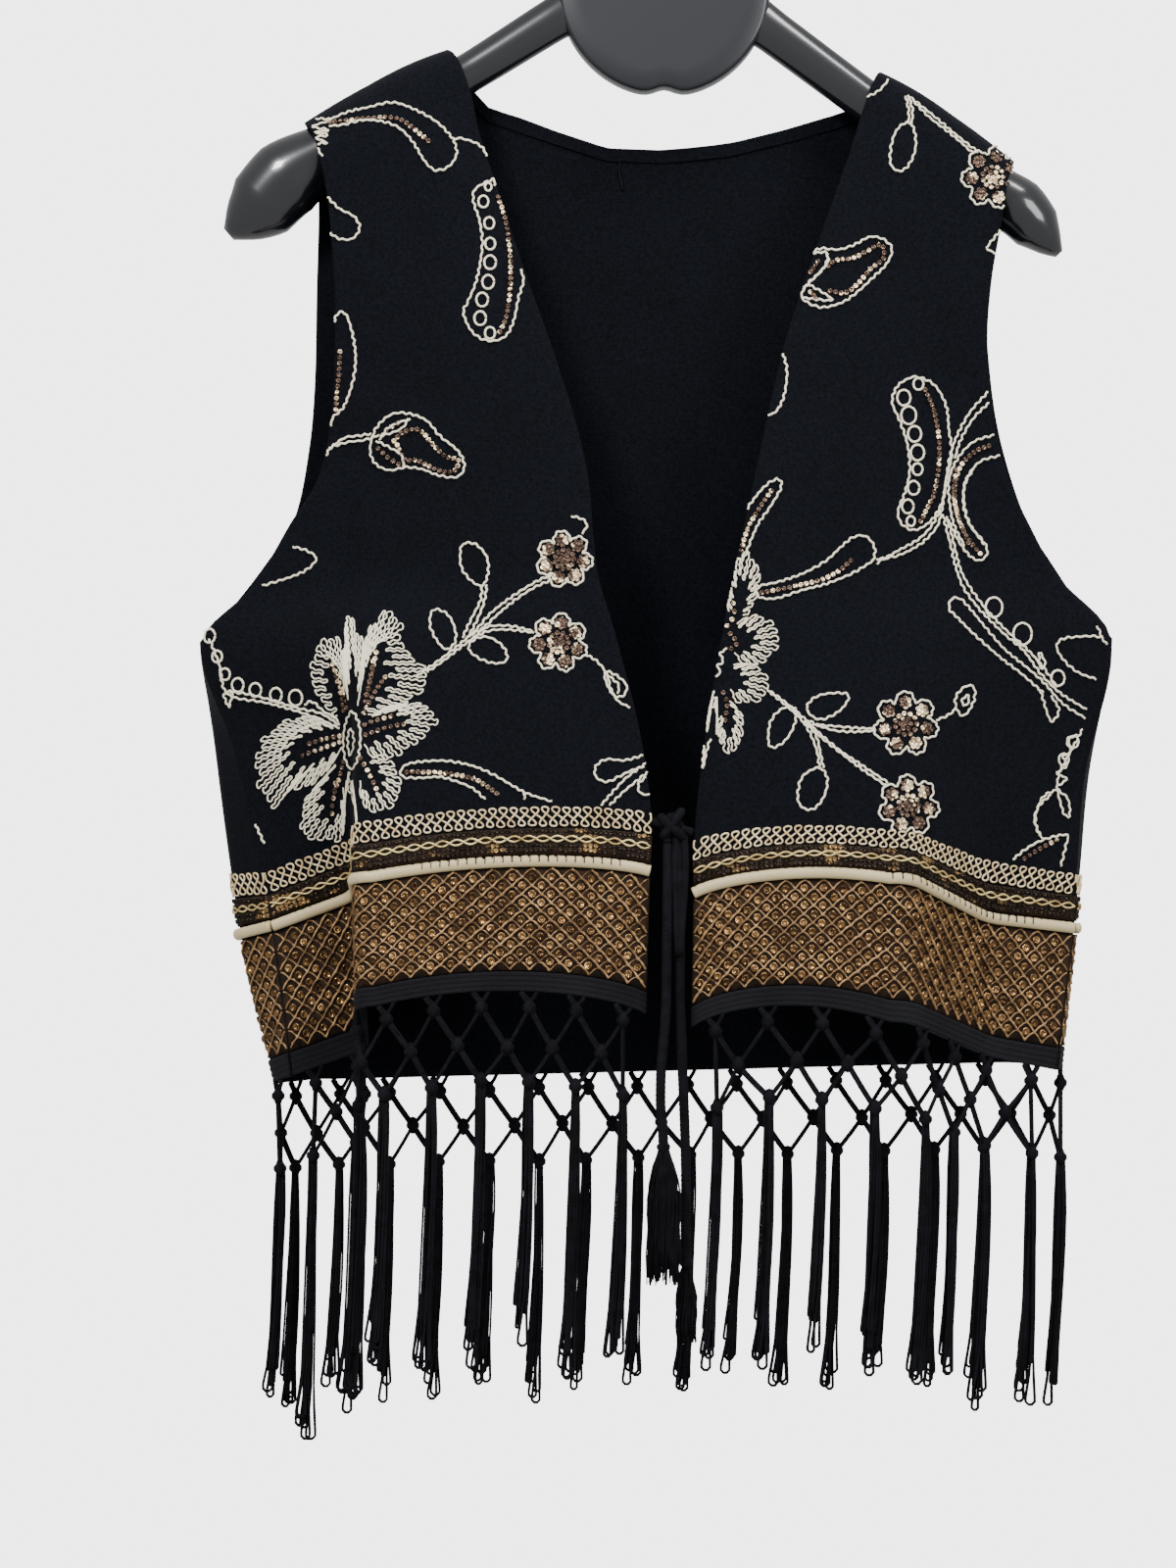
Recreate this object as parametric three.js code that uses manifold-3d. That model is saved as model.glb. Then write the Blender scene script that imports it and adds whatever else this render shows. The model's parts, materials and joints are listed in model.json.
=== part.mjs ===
// Embroidered vest of black wool cloth, hanging on a black moulded hanger.
// Millimetres, +Z up. The fronts face -Y. The origin is the inner top of the hook,
// where a rail carries it. Left and right are as seen from the front.
import * as THREE from 'three';
import { mergeVertices } from 'three/addons/utils/BufferGeometryUtils.js';
import Module from 'manifold-3d';

const wasm = await Module();
wasm.setup();

// Driving sizes of the cloth.
const CLOTH = 1.6;            // wall thickness of the felted cloth
const SEAM_GAP = 0.35;        // parting of two panels at a seam
const TRIM_GAP = 0.3;         // parting of a trim from the cloth that it lies on
const UNDERARM = 205;         // height of the underarm above the hem, along the cloth
const TOP = 496;              // height of the shoulder seam above the hem
const FOLD_ROUND = 9;         // radius of the hanging folds
const SHOULDER_BULGE = 2.5;   // how far the shoulder seam arches over the hanger's arm
const HEM_ARCH = 8.5;         // how far each front's hem arches up between edge and fold
const EDGE_DROOP = 3;         // how far the border dips at the centre edge
const CREST_SHARE = 0.66;     // where the fold's line runs out, across a front
const VALLEY_SHARE = 0.73;
const BACK_DEPTH = 38;        // y of the back panel behind the hanger
const SIDE_TURN = 22;         // how far the back wraps round at each side

// Sections of the left front, from hem to shoulder. up is the height along the cloth.
// centre is the neck or centre edge, side the side seam or armhole edge, and crest and
// valley are the two turns of the hanging fold. Each place is [x, y, z].
const LEFT_FRONT = [
  { up: 0, centre: [-8, -60, -641], crest: [-156, -62, -640], valley: [-154, -8, -666], side: [-193, -8, -680] },
  { up: 72, centre: [-6, -58, -572], crest: [-157, -60, -577], valley: [-158, -14, -587], side: [-203, -9, -604] },
  { up: 103, centre: [-5, -56, -539], crest: [-158, -56, -545], valley: [-160, -22, -554], side: [-208, -10, -572] },
  { up: 150, centre: [-11, -52, -497], crest: [-160, -49, -500], valley: [-163, -31, -504], side: [-222, -11, -510] },
  { up: 205, centre: [-24, -46, -446], crest: [-164, -38, -450], valley: [-170, -35, -450], side: [-241, -12, -451] },
  { up: 232, centre: [-32, -43, -419], side: [-214, -13, -422] },
  { up: 260, centre: [-35, -40, -394], side: [-194, -15, -389] },
  { up: 285, centre: [-37, -37, -369], side: [-179, -18, -365] },
  { up: 315, centre: [-44, -33, -337], side: [-172, -20, -332] },
  { up: 355, centre: [-58, -28, -293], side: [-170, -22, -286] },
  { up: 390, centre: [-70, -24, -259], side: [-171, -23, -253] },
  { up: 430, centre: [-84, -20, -217], side: [-174, -23, -219] },
  { up: 463, centre: [-95, -17, -182], side: [-178, -23, -198] },
  { up: 480, centre: [-99, -15, -163], side: [-181, -21, -187] },
  { up: 489, centre: [-104, -13.5, -148], side: [-184, -17, -181] },
  { up: 493.5, centre: [-108.5, -9, -140], side: [-187, -9, -177.5] },
  { up: 496, centre: [-112, -0.2, -136.5], side: [-188, -0.2, -175.5] },
];

const RIGHT_FRONT = [
  { up: 0, centre: [16, -58, -648], crest: [126, -64, -648], valley: [174, -16, -670], side: [209, -8, -677] },
  { up: 72, centre: [17, -57, -583], crest: [126, -62, -577], valley: [170, -20, -599], side: [218, -9, -605] },
  { up: 103, centre: [17, -56, -553], crest: [126, -58, -549], valley: [169, -26, -565], side: [220, -10, -573] },
  { up: 150, centre: [23, -52, -501], crest: [129, -50, -505], valley: [159, -34, -511], side: [224, -11, -522] },
  { up: 205, centre: [32, -46, -448], crest: [133, -38, -451], valley: [154, -33, -451], side: [238, -12, -449] },
  { up: 232, centre: [38, -43, -419], side: [211, -13, -418] },
  { up: 260, centre: [43, -40, -395], side: [196, -15, -392] },
  { up: 285, centre: [48, -37, -372], side: [184, -18, -367] },
  { up: 315, centre: [55, -33, -340], side: [176, -20, -337] },
  { up: 355, centre: [65, -28, -297], side: [172, -22, -296] },
  { up: 390, centre: [76, -24, -263], side: [174, -23, -263] },
  { up: 430, centre: [90, -20, -223], side: [179, -23, -233] },
  { up: 463, centre: [101, -17, -192], side: [182, -23, -213] },
  { up: 480, centre: [107, -15, -172], side: [184, -21, -206] },
  { up: 489, centre: [112, -13.5, -158], side: [186, -17, -201] },
  { up: 493.5, centre: [115.5, -9, -151], side: [187.5, -9, -197.5] },
  { up: 496, centre: [118, -0.2, -148.5], side: [188, -0.2, -195.5] },
];

// Side turns of the back below the underarm, at the widest line of each side: [x, z].
const BACK_SIDES = [
  { up: 0, left: [-206, -686], right: [215, -677] },
  { up: 72, left: [-225, -610], right: [222, -606] },
  { up: 103, left: [-231, -573], right: [226, -574] },
  { up: 150, left: [-239, -510], right: [231, -522] },
  { up: 205, left: [-245, -451], right: [243, -449] },
];

// Armhole edges of the back, from the underarm to the shoulder tip.
const BACK_ARMHOLE = {
  left: [
    [-241.4, -12, -451], [-225, 6, -430], [-209, 12, -408], [-195, 14, -386], [-187, 17, -348],
    [-184, 19, -313], [-183, 22, -263], [-182, 23, -213], [-184, 18, -183], [-188, 0.2, -175.5],
  ],
  right: [
    [238.4, -12, -449], [224, 6, -430], [210, 12, -408], [198, 14, -388], [185, 17, -348],
    [179, 20, -313], [176, 22, -263], [180, 23, -228], [185, 18, -203], [188, 0.2, -195.5],
  ],
};

// Neck edge of the back, from the left shoulder to the right one.
const BACK_NECK = [
  [-112, 0.2, -136.5], [-107, 13, -147], [-94, 17, -162], [-72, 18, -170], [-37, 22, -182],
  [-13, 23, -186], [22, 23, -184], [50, 21, -180], [84, 18, -171], [103, 17, -165], [110, 14, -160],
  [118, 0.2, -148.5],
];

// Rows of the border, as heights above the hem, and how far each stands off the cloth.
const BORDER = {
  bronze: { from: 12, to: 71.5, rows: 1, stands: [1.6, 1.6] },
  piping: { from: 72, to: 78, rows: 2, stands: [1.2, 4.2, 1.2] },
  strip: { from: 78.6, to: 91, rows: 1, stands: [1.2, 2] },
  gimp: { from: 92, to: 102, rows: 1, stands: [1.6, 1.6] },
};

// Knotted fringe, hung from a ribbed tape on the hem.
const TAPE = { from: -0.5, to: 11.4, thick: 1.8 };
const KNOT_DROPS = [8, 47];              // upper and lower knots under the tape
const NET_PASS = 1.5;                    // how far the cords pass before and behind each other
const KNOT_SIZE = [3.2, 3.2, 4.2];
const NET_CORD = 1.1;                    // radius of the net's cords
const LOCK = 4.2;                        // radius of a tassel, one lock of looped cords
const NECK_BAND = { width: 7.5, thick: 0.9, below: 0.5 };

// Hanger, rolled a little about its hook, so the right end is the lower one.
const ARM_LEFT = [
  { x: -38, z: -111, high: 13, deep: 7 },
  { x: -56, z: -121, high: 11.5, deep: 8 },
  { x: -100, z: -148.5, high: 10.5, deep: 9 },
  { x: -142, z: -172.5, high: 13, deep: 12.5 },
  { x: -178, z: -193, high: 16.5, deep: 15.5 },
  { x: -197, z: -205, high: 21, deep: 17.5 },
  { x: -211, z: -219.5, high: 19.5, deep: 16 },
  { x: -220.5, z: -228, high: 12.5, deep: 11 },
  { x: -228, z: -234.5, high: 4, deep: 5 },
];
const ARM_RIGHT = [
  { x: 42, z: -114, high: 13, deep: 7 },
  { x: 61, z: -127.5, high: 11.5, deep: 8 },
  { x: 113, z: -166, high: 11, deep: 9.5 },
  { x: 150, z: -191.5, high: 13, deep: 12.5 },
  { x: 178, z: -212, high: 14.5, deep: 15 },
  { x: 191, z: -220.5, high: 15.5, deep: 16 },
  { x: 200.5, z: -231, high: 13.5, deep: 13.5 },
  { x: 207.5, z: -239.5, high: 7.5, deep: 9 },
  { x: 212.5, z: -245, high: 2.5, deep: 4 },
];
const HUB = { x: 3, z: -105, radius: 56, thick: 16, notch: 0.07, notchWide: 0.13 };
const HOOK = { wire: 3.5, bend: 20, from: -50, to: 205 };

// Tie at the waist: a knot between the centre edges, and two woven cords with tassels.
const TIE_KNOT = { at: [6, -57.2, -548], half: [10.6, 6.5, 9] };
const TIE_CORD = 2.3;                    // radius
const TIE_ROUTE_LEFT = [
  [3.5, -58.6, -557.1], [3.4, -60.5, -566], [3.3, -62.6, -572], [3.2, -64.4, -578], [3.1, -65.6, -586],
  [3, -66.5, -595], [2.9, -67.3, -605], [2.8, -68, -615], [2.7, -68.5, -625], [2.5, -69, -636],
  [2, -69.5, -646], [1.4, -70, -655], [0.5, -70.5, -664], [-0.2, -71, -673], [-0.4, -72, -690],
  [0.6, -72.5, -700], [1, -72.8, -709.5],
];
const TIE_ROUTE_RIGHT = [
  [8.6, -58.2, -557.1], [9, -60, -566], [9.3, -61.4, -572], [9.5, -62.5, -578], [9.7, -63.5, -595],
  [9.7, -63.9, -605], [9.7, -64, -615], [9.7, -64, -636], [10.4, -63.5, -655], [10.7, -63, -664],
  [11, -62.5, -673], [11.8, -61.5, -692], [12.5, -61, -712], [12.8, -61, -733], [12.6, -61.3, -753],
  [12.8, -61.5, -770],
];
const TIE_TASSELS = {
  left: { at: [1, -72.8, -709.8], length: 73, spread: 8, depth: 4, locks: 6 },
  right: { at: [12.8, -61.5, -770.3], length: 42, spread: 4, depth: 3, locks: 4 },
};

const FINISH = {
  cloth: new THREE.MeshStandardMaterial({ color: 0x14161c, roughness: 0.95 }),
  band: new THREE.MeshStandardMaterial({ color: 0x101218, roughness: 0.8 }),
  gimp: new THREE.MeshStandardMaterial({ color: 0xd9c492, roughness: 0.5, metalness: 0.3 }),
  strip: new THREE.MeshStandardMaterial({ color: 0x6b4a2c, roughness: 0.4, metalness: 0.6 }),
  piping: new THREE.MeshStandardMaterial({ color: 0xd8d1ae, roughness: 0.45 }),
  bronze: new THREE.MeshStandardMaterial({ color: 0x8a5f3b, roughness: 0.4, metalness: 0.6 }),
  fringe: new THREE.MeshStandardMaterial({ color: 0x0e0f16, roughness: 0.85 }),
  hanger: new THREE.MeshStandardMaterial({ color: 0x1b1e24, roughness: 0.3 }),
  hook: new THREE.MeshStandardMaterial({ color: 0x9a9ca0, roughness: 0.25, metalness: 0.9 }),
};

// Vectors are plain [x, y, z] lists.
const mix = (a, b, t) => a.map((value, i) => value + (b[i] - value) * t);
const plus = (a, b, scale = 1) => a.map((value, i) => value + b[i] * scale);
const minus = (a, b) => a.map((value, i) => value - b[i]);
const distance = (a, b) => Math.hypot(...minus(a, b));
const cross = (a, b) => [a[1] * b[2] - a[2] * b[1], a[2] * b[0] - a[0] * b[2], a[0] * b[1] - a[1] * b[0]];
const unit = (a) => a.map((value) => value / (Math.hypot(...a) || 1));

// A smooth curve through a list of vectors whose places are given by keys.
function through(keys, values, key) {
  let i = 0;
  while (i < keys.length - 2 && key > keys[i + 1]) i += 1;
  const before = Math.max(i - 1, 0);
  const after = Math.min(i + 2, keys.length - 1);
  const span = keys[i + 1] - keys[i];
  const t = (key - keys[i]) / span;
  return values[i].map((from, n) => {
    const to = values[i + 1][n];
    const slopeFrom = ((to - values[before][n]) / (keys[i + 1] - keys[before])) * span;
    const slopeTo = ((values[after][n] - from) / (keys[after] - keys[i])) * span;
    return (2 * t ** 3 - 3 * t ** 2 + 1) * from + (t ** 3 - 2 * t ** 2 + t) * slopeFrom
      + (3 * t ** 2 - 2 * t ** 3) * to + (t ** 3 - t ** 2) * slopeTo;
  });
}

// Points along a corner of the plan: from one leg's point round to the other's.
function turn(from, corner, to, steps) {
  const points = [];
  for (let i = 0; i <= steps; i += 1) {
    const t = i / steps;
    points.push(mix(mix(from, corner, t), mix(corner, to, t), t));
  }
  return points;
}

function leg(from, to, steps) {
  return Array.from({ length: steps }, (_, i) => mix(from, to, i / steps));
}

function along(from, to, length) {
  return mix(from, to, Math.min(length / distance(from, to), 0.42));
}

// The rise of the shoulder seam over the arm, fading out below it. share runs across the shoulder.
function shoulderRise(share, up) {
  const near = Math.max(0, 1 - (TOP - up) / 60);
  return SHOULDER_BULGE * 4 * share * (1 - share) * near;
}

// A front, as a function of the column (0 at the centre edge) and the height along the cloth.
const FRONT_LEGS = { centre: 8, turn: 3, side: 4 };
const FRONT_COLUMNS = FRONT_LEGS.centre + 2 * FRONT_LEGS.turn + 1 + FRONT_LEGS.side;

function frontSurface(table) {
  const bulge = 4;      // the cloth's forward bow over the hanger's arm
  const full = table.map((row) => {
    const bowed = (share) => plus(mix(row.centre, row.side, share), [0, -bulge * share * (1 - share), 0]);
    const crest = row.crest ?? bowed(CREST_SHARE);
    const valley = row.valley ?? bowed(VALLEY_SHARE);
    return [...row.centre, ...crest, ...valley, ...row.side];
  });
  const keys = table.map((row) => row.up);
  return (column, up) => {
    const section = through(keys, full, up);
    const [centre, crest, valley, side] = [0, 3, 6, 9].map((at) => section.slice(at, at + 3));
    const arch = Math.max(0, 1 - Math.max(up, 0) / UNDERARM);
    const crestIn = along(crest, centre, FOLD_ROUND);
    const centreLeg = leg(centre, crestIn, FRONT_LEGS.centre).map((point, i) => {
      const t = i / FRONT_LEGS.centre;
      const rise = HEM_ARCH * 4 * t * (1 - t) - EDGE_DROOP * Math.exp(-t / 0.08);
      return plus(point, [0, -3 * Math.sin(Math.PI * t), arch * rise]);
    });
    const crestTurn = turn(crestIn, crest, along(crest, valley, FOLD_ROUND), FRONT_LEGS.turn);
    const valleyTurn = turn(along(valley, crest, FOLD_ROUND), valley, along(valley, side, FOLD_ROUND),
      FRONT_LEGS.turn);
    const sideLeg = leg(valleyTurn.at(-1), side, FRONT_LEGS.side).slice(1);
    const point = [...centreLeg, ...crestTurn, ...valleyTurn, ...sideLeg, side][column];
    return plus(point, [0, 0, shoulderRise((point[0] - centre[0]) / (side[0] - centre[0]), up)]);
  };
}

// The back, wrapped round both sides. Above the underarm its edge follows the armholes,
// and its top is the two shoulder seams with the neck edge between them.
const BACK_LEGS = { wrap: 2, turn: 2, between: 1, middle: 14 };
const BACK_WRAP = BACK_LEGS.wrap + 2 * BACK_LEGS.turn + BACK_LEGS.between;
const BACK_COLUMNS = 2 * BACK_WRAP + BACK_LEGS.middle;
const SHOULDER_COLUMNS = 9;
const ARMHOLE_REACH = 6;        // columns over which the armhole's curve fades out
const SHOULDER_DEPTH = { tip: 23, neck: 16 };  // y of the back just below the shoulder seam
const ROLL_START = 0.93;        // where the back starts to roll over the hanger's arm
const STRAIGHT = { full: 0.12, fade: 0.86, over: 0.07 };  // where it runs straight from the armhole

function backSurface(leftFront, rightFront) {
  const keys = BACK_SIDES.map((row) => row.up);
  const sides = BACK_SIDES.map((row) => [...row.left, ...row.right]);
  const below = (up) => {
    const [leftX, leftZ, rightX, rightZ] = through(keys, sides, up);
    const seamLeft = plus(leftFront(FRONT_COLUMNS, up), [-SEAM_GAP, 0, 0]);
    const seamRight = plus(rightFront(FRONT_COLUMNS, up), [SEAM_GAP, 0, 0]);
    const turnLeft = [leftX, 10, leftZ];
    const turnRight = [rightX, 10, rightZ];
    const backLeft = [leftX + SIDE_TURN, BACK_DEPTH, leftZ];
    const backRight = [rightX - SIDE_TURN, BACK_DEPTH, rightZ];
    const half = (seam, side, back) => {
      const outer = turn(along(side, seam, FOLD_ROUND), side, along(side, back, FOLD_ROUND), BACK_LEGS.turn);
      const inner = turn(along(back, side, FOLD_ROUND), back, along(back, [0, BACK_DEPTH, back[2]], FOLD_ROUND),
        BACK_LEGS.turn);
      return [...leg(seam, outer[0], BACK_LEGS.wrap), ...outer, ...inner];
    };
    const left = half(seamLeft, turnLeft, backLeft);
    const right = half(seamRight, turnRight, backRight).reverse();
    return [...left, ...leg(left.at(-1), right[0], BACK_LEGS.middle).slice(1), ...right];
  };
  const neckColumns = BACK_COLUMNS - 2 * SHOULDER_COLUMNS;
  const neckKeys = BACK_NECK.map((_, i) => i / (BACK_NECK.length - 1));
  const top = Array.from({ length: BACK_COLUMNS + 1 }, (_, column) => {
    if (column < SHOULDER_COLUMNS) {
      return mix(BACK_ARMHOLE.left.at(-1), BACK_NECK[0], column / SHOULDER_COLUMNS);
    }
    if (column > BACK_COLUMNS - SHOULDER_COLUMNS) {
      return mix(BACK_ARMHOLE.right.at(-1), BACK_NECK.at(-1), (BACK_COLUMNS - column) / SHOULDER_COLUMNS);
    }
    return through(neckKeys, BACK_NECK, (column - SHOULDER_COLUMNS) / neckColumns);
  });
  const onArm = (column) => {
    const inward = Math.min(column, BACK_COLUMNS - column);
    if (inward > SHOULDER_COLUMNS) return null;
    return SHOULDER_DEPTH.tip + (SHOULDER_DEPTH.neck - SHOULDER_DEPTH.tip) * (inward / SHOULDER_COLUMNS);
  };
  const base = below(UNDERARM);
  const armholeKeys = (edge, bottom) => edge.map((point) => (point[2] - bottom) / (edge.at(-1)[2] - bottom));
  const upper = (column, share) => {
    const blended = mix(base[column], top[column], share);
    const depth = onArm(column);
    if (depth !== null) {
      const rolled = Math.max(0, (share - ROLL_START) / (1 - ROLL_START));
      const drop = 1 - Math.sqrt(Math.max(0, 1 - rolled ** 2));
      blended[1] = base[column][1] + (depth - base[column][1]) * share - (depth - 0.2) * drop;
      const inward = Math.min(column, BACK_COLUMNS - column);
      blended[2] += shoulderRise(inward / SHOULDER_COLUMNS, UNDERARM + share * (TOP - UNDERARM));
    }
    return blended;
  };
  return (column, up) => {
    if (up <= UNDERARM) return below(up)[column];
    const share = (up - UNDERARM) / (TOP - UNDERARM);
    const point = upper(column, share);
    const fromLeft = column <= BACK_COLUMNS / 2;
    const inward = fromLeft ? column : BACK_COLUMNS - column;
    if (inward >= SHOULDER_COLUMNS) return point;
    const edge = fromLeft ? BACK_ARMHOLE.left : BACK_ARMHOLE.right;
    const edgePoint = through(armholeKeys(edge, edge[0][2]), edge, share);
    const weight = Math.max(0, 1 - inward / ARMHOLE_REACH) ** 2;
    const curved = plus(point, minus(edgePoint, upper(fromLeft ? 0 : BACK_COLUMNS, share)), weight);
    const inner = upper(fromLeft ? SHOULDER_COLUMNS : BACK_COLUMNS - SHOULDER_COLUMNS, share);
    return mix(curved, mix(edgePoint, inner, inward / SHOULDER_COLUMNS), straightShare(share));
  };
}

// How far the back runs straight inwards from the armhole, instead of wrapping round the side.
// share goes from the underarm to the shoulder, where the back rolls over the arm instead.
function straightShare(share) {
  const smooth = (t) => {
    const limited = Math.min(Math.max(t, 0), 1);
    return limited * limited * (3 - 2 * limited);
  };
  return smooth(share / STRAIGHT.full) * (1 - smooth((share - STRAIGHT.fade) / STRAIGHT.over));
}

// The outward direction of a panel at a column and height. At a side seam the back takes the
// front's direction, and at the shoulder seam both stand straight up, so the edges face each other.
function outward(panel, column, up) {
  const { surface, columns, sign, seamPanels } = panel;
  if (seamPanels && up <= UNDERARM && (column === 0 || column === columns)) {
    const front = column === 0 ? seamPanels[0] : seamPanels[1];
    return outward(front, front.columns, up);
  }
  const small = 0.5;
  const low = Math.max(up - small, -1);
  const high = Math.min(up + small, TOP);
  const across = minus(surface(Math.min(column + 1, columns), up), surface(Math.max(column - 1, 0), up));
  const upwards = minus(surface(column, high), surface(column, low));
  const normal = unit(cross(across, upwards)).map((value) => value * sign);
  const inward = Math.min(column, columns - column);
  const atShoulder = up > TOP - small && (!seamPanels || inward <= SHOULDER_COLUMNS);
  return atShoulder ? unit([-across[2] * Math.sign(across[0]), 0, Math.abs(across[0])]) : normal;
}

function geometryOf(vertices, triangles) {
  const geometry = new THREE.BufferGeometry();
  geometry.setAttribute('position', new THREE.Float32BufferAttribute(vertices.flat(), 3));
  let volume = 0;
  for (const [a, b, c] of triangles) {
    const product = cross(vertices[b], vertices[c]);
    volume += vertices[a][0] * product[0] + vertices[a][1] * product[1] + vertices[a][2] * product[2];
  }
  const facing = volume < 0 ? triangles.map(([a, b, c]) => [a, c, b]) : triangles;
  geometry.setIndex(facing.flat());
  return geometry;
}

// A closed wall between two grids of points of the same size.
function wall(outer, inner) {
  const rows = outer.length;
  const columns = outer[0].length;
  const vertices = [...outer.flat(), ...inner.flat()];
  const shift = rows * columns;
  const at = (row, column) => row * columns + column;
  const triangles = [];
  const quad = (a, b, c, d) => triangles.push([a, b, c], [a, c, d]);
  for (let row = 0; row < rows - 1; row += 1) {
    for (let column = 0; column < columns - 1; column += 1) {
      const [a, b] = [at(row, column), at(row, column + 1)];
      const [c, d] = [at(row + 1, column + 1), at(row + 1, column)];
      quad(a, b, c, d);
      quad(a + shift, d + shift, c + shift, b + shift);
    }
    const last = columns - 1;
    quad(at(row, 0), at(row + 1, 0), at(row + 1, 0) + shift, at(row, 0) + shift);
    quad(at(row, last), at(row, last) + shift, at(row + 1, last) + shift, at(row + 1, last));
  }
  for (let column = 0; column < columns - 1; column += 1) {
    const last = rows - 1;
    quad(at(0, column), at(0, column) + shift, at(0, column + 1) + shift, at(0, column + 1));
    quad(at(last, column), at(last, column + 1), at(last, column + 1) + shift, at(last, column) + shift);
  }
  return geometryOf(vertices, triangles);
}

// The three cloth panels: surface, number of columns, and the sign that turns its normal outward.
const leftSurface = frontSurface(LEFT_FRONT);
const rightSurface = frontSurface(RIGHT_FRONT);
const PANELS = {
  left: { surface: leftSurface, columns: FRONT_COLUMNS, sign: -1 },
  right: { surface: rightSurface, columns: FRONT_COLUMNS, sign: 1 },
};
PANELS.back = {
  surface: backSurface(leftSurface, rightSurface),
  columns: BACK_COLUMNS,
  sign: -1,
  seamPanels: [PANELS.left, PANELS.right],
};

// Heights of the panels' rows of points. Below the underarm all three share them, for the seams.
const SEAM_ROWS = [0, 12, 71.75, 78.3, 91.5, 102.5, 130, 155, 180, UNDERARM];
const FRONT_ROWS = [...SEAM_ROWS, 228, 255, 290, 335, 385, 435, 465, 482, 489, 493.5, TOP];
const BACK_ROWS = [...SEAM_ROWS, 225, 250, 285, 330, 385, 435, 468, 482, 490, 494.3, TOP];

function layer(panel, ups, offset) {
  return ups.map((up, row) => Array.from({ length: panel.columns + 1 }, (_, column) => {
    const lift = typeof offset === 'function' ? offset(row) : offset;
    return plus(panel.surface(column, up), outward(panel, column, up), lift);
  }));
}

function clothPanel(panel, ups) {
  return wall(layer(panel, ups, 0), layer(panel, ups, -CLOTH));
}

function trim(panel, { from, to, rows, stands }) {
  const ups = Array.from({ length: rows + 1 }, (_, row) => from + ((to - from) * row) / rows);
  return wall(layer(panel, ups, (row) => stands[row] + TRIM_GAP), layer(panel, ups, TRIM_GAP));
}

// Booleans: a closed geometry becomes a solid, and solids are joined and read back.
function solidOf(geometry) {
  const plain = geometry.clone();
  plain.deleteAttribute('normal');
  plain.deleteAttribute('uv');
  const merged = mergeVertices(plain, 1e-4);
  return new wasm.Manifold(new wasm.Mesh({
    numProp: 3,
    vertProperties: new Float32Array(merged.attributes.position.array),
    triVerts: new Uint32Array(merged.index.array),
  }));
}

function joined(geometries) {
  const [first, ...rest] = geometries.map(solidOf);
  const mesh = rest.reduce((sum, solid) => sum.add(solid), first).getMesh();
  const geometry = new THREE.BufferGeometry();
  geometry.setAttribute('position', new THREE.Float32BufferAttribute(mesh.vertProperties, 3));
  geometry.setIndex([...mesh.triVerts]);
  return geometry;
}

// A strand of a few sides along a list of points, with a radius at each point.
function strand(points, radii, sides) {
  const vertices = [];
  const triangles = [];
  points.forEach((point, i) => {
    const ahead = unit(minus(points[Math.min(i + 1, points.length - 1)], points[Math.max(i - 1, 0)]));
    const side = unit(cross(ahead, Math.abs(ahead[1]) > 0.9 ? [1, 0, 0] : [0, 1, 0]));
    const other = cross(ahead, side);
    for (let n = 0; n < sides; n += 1) {
      const angle = (2 * Math.PI * (n + 0.5)) / sides;
      vertices.push(plus(plus(point, side, radii[i] * Math.cos(angle)), other, radii[i] * Math.sin(angle)));
    }
  });
  for (let i = 0; i < points.length - 1; i += 1) {
    for (let n = 0; n < sides; n += 1) {
      const next = (n + 1) % sides;
      const [a, b] = [i * sides + n, i * sides + next];
      triangles.push([a, b, b + sides], [a, b + sides, a + sides]);
    }
  }
  for (let n = 1; n < sides - 1; n += 1) {
    triangles.push([0, n + 1, n]);
    const last = (points.length - 1) * sides;
    triangles.push([last, last + n, last + n + 1]);
  }
  return geometryOf(vertices, triangles);
}

function ball(at, half, around = 12, rings = 8) {
  const geometry = new THREE.SphereGeometry(1, around, rings);
  geometry.scale(...half);
  geometry.translate(...at);
  return geometry;
}

function knot(at) {
  const geometry = new THREE.OctahedronGeometry(1, 0);
  geometry.scale(...KNOT_SIZE);
  geometry.translate(...at);
  return geometry;
}

// A place on the middle of the tape's lower edge, by its distance along the hem.
function hemLine(panel) {
  const [line] = layer(panel, [TAPE.from], TRIM_GAP + TAPE.thick / 2);
  const lengths = [0];
  for (let i = 1; i < line.length; i += 1) lengths.push(lengths[i - 1] + distance(line[i], line[i - 1]));
  const total = lengths.at(-1);
  return {
    total,
    place: (length) => {
      const wanted = Math.min(Math.max(length, 0), total);
      let i = 0;
      while (i < lengths.length - 2 && wanted > lengths[i + 1]) i += 1;
      return mix(line[i], line[i + 1], (wanted - lengths[i]) / (lengths[i + 1] - lengths[i]));
    },
  };
}

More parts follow.
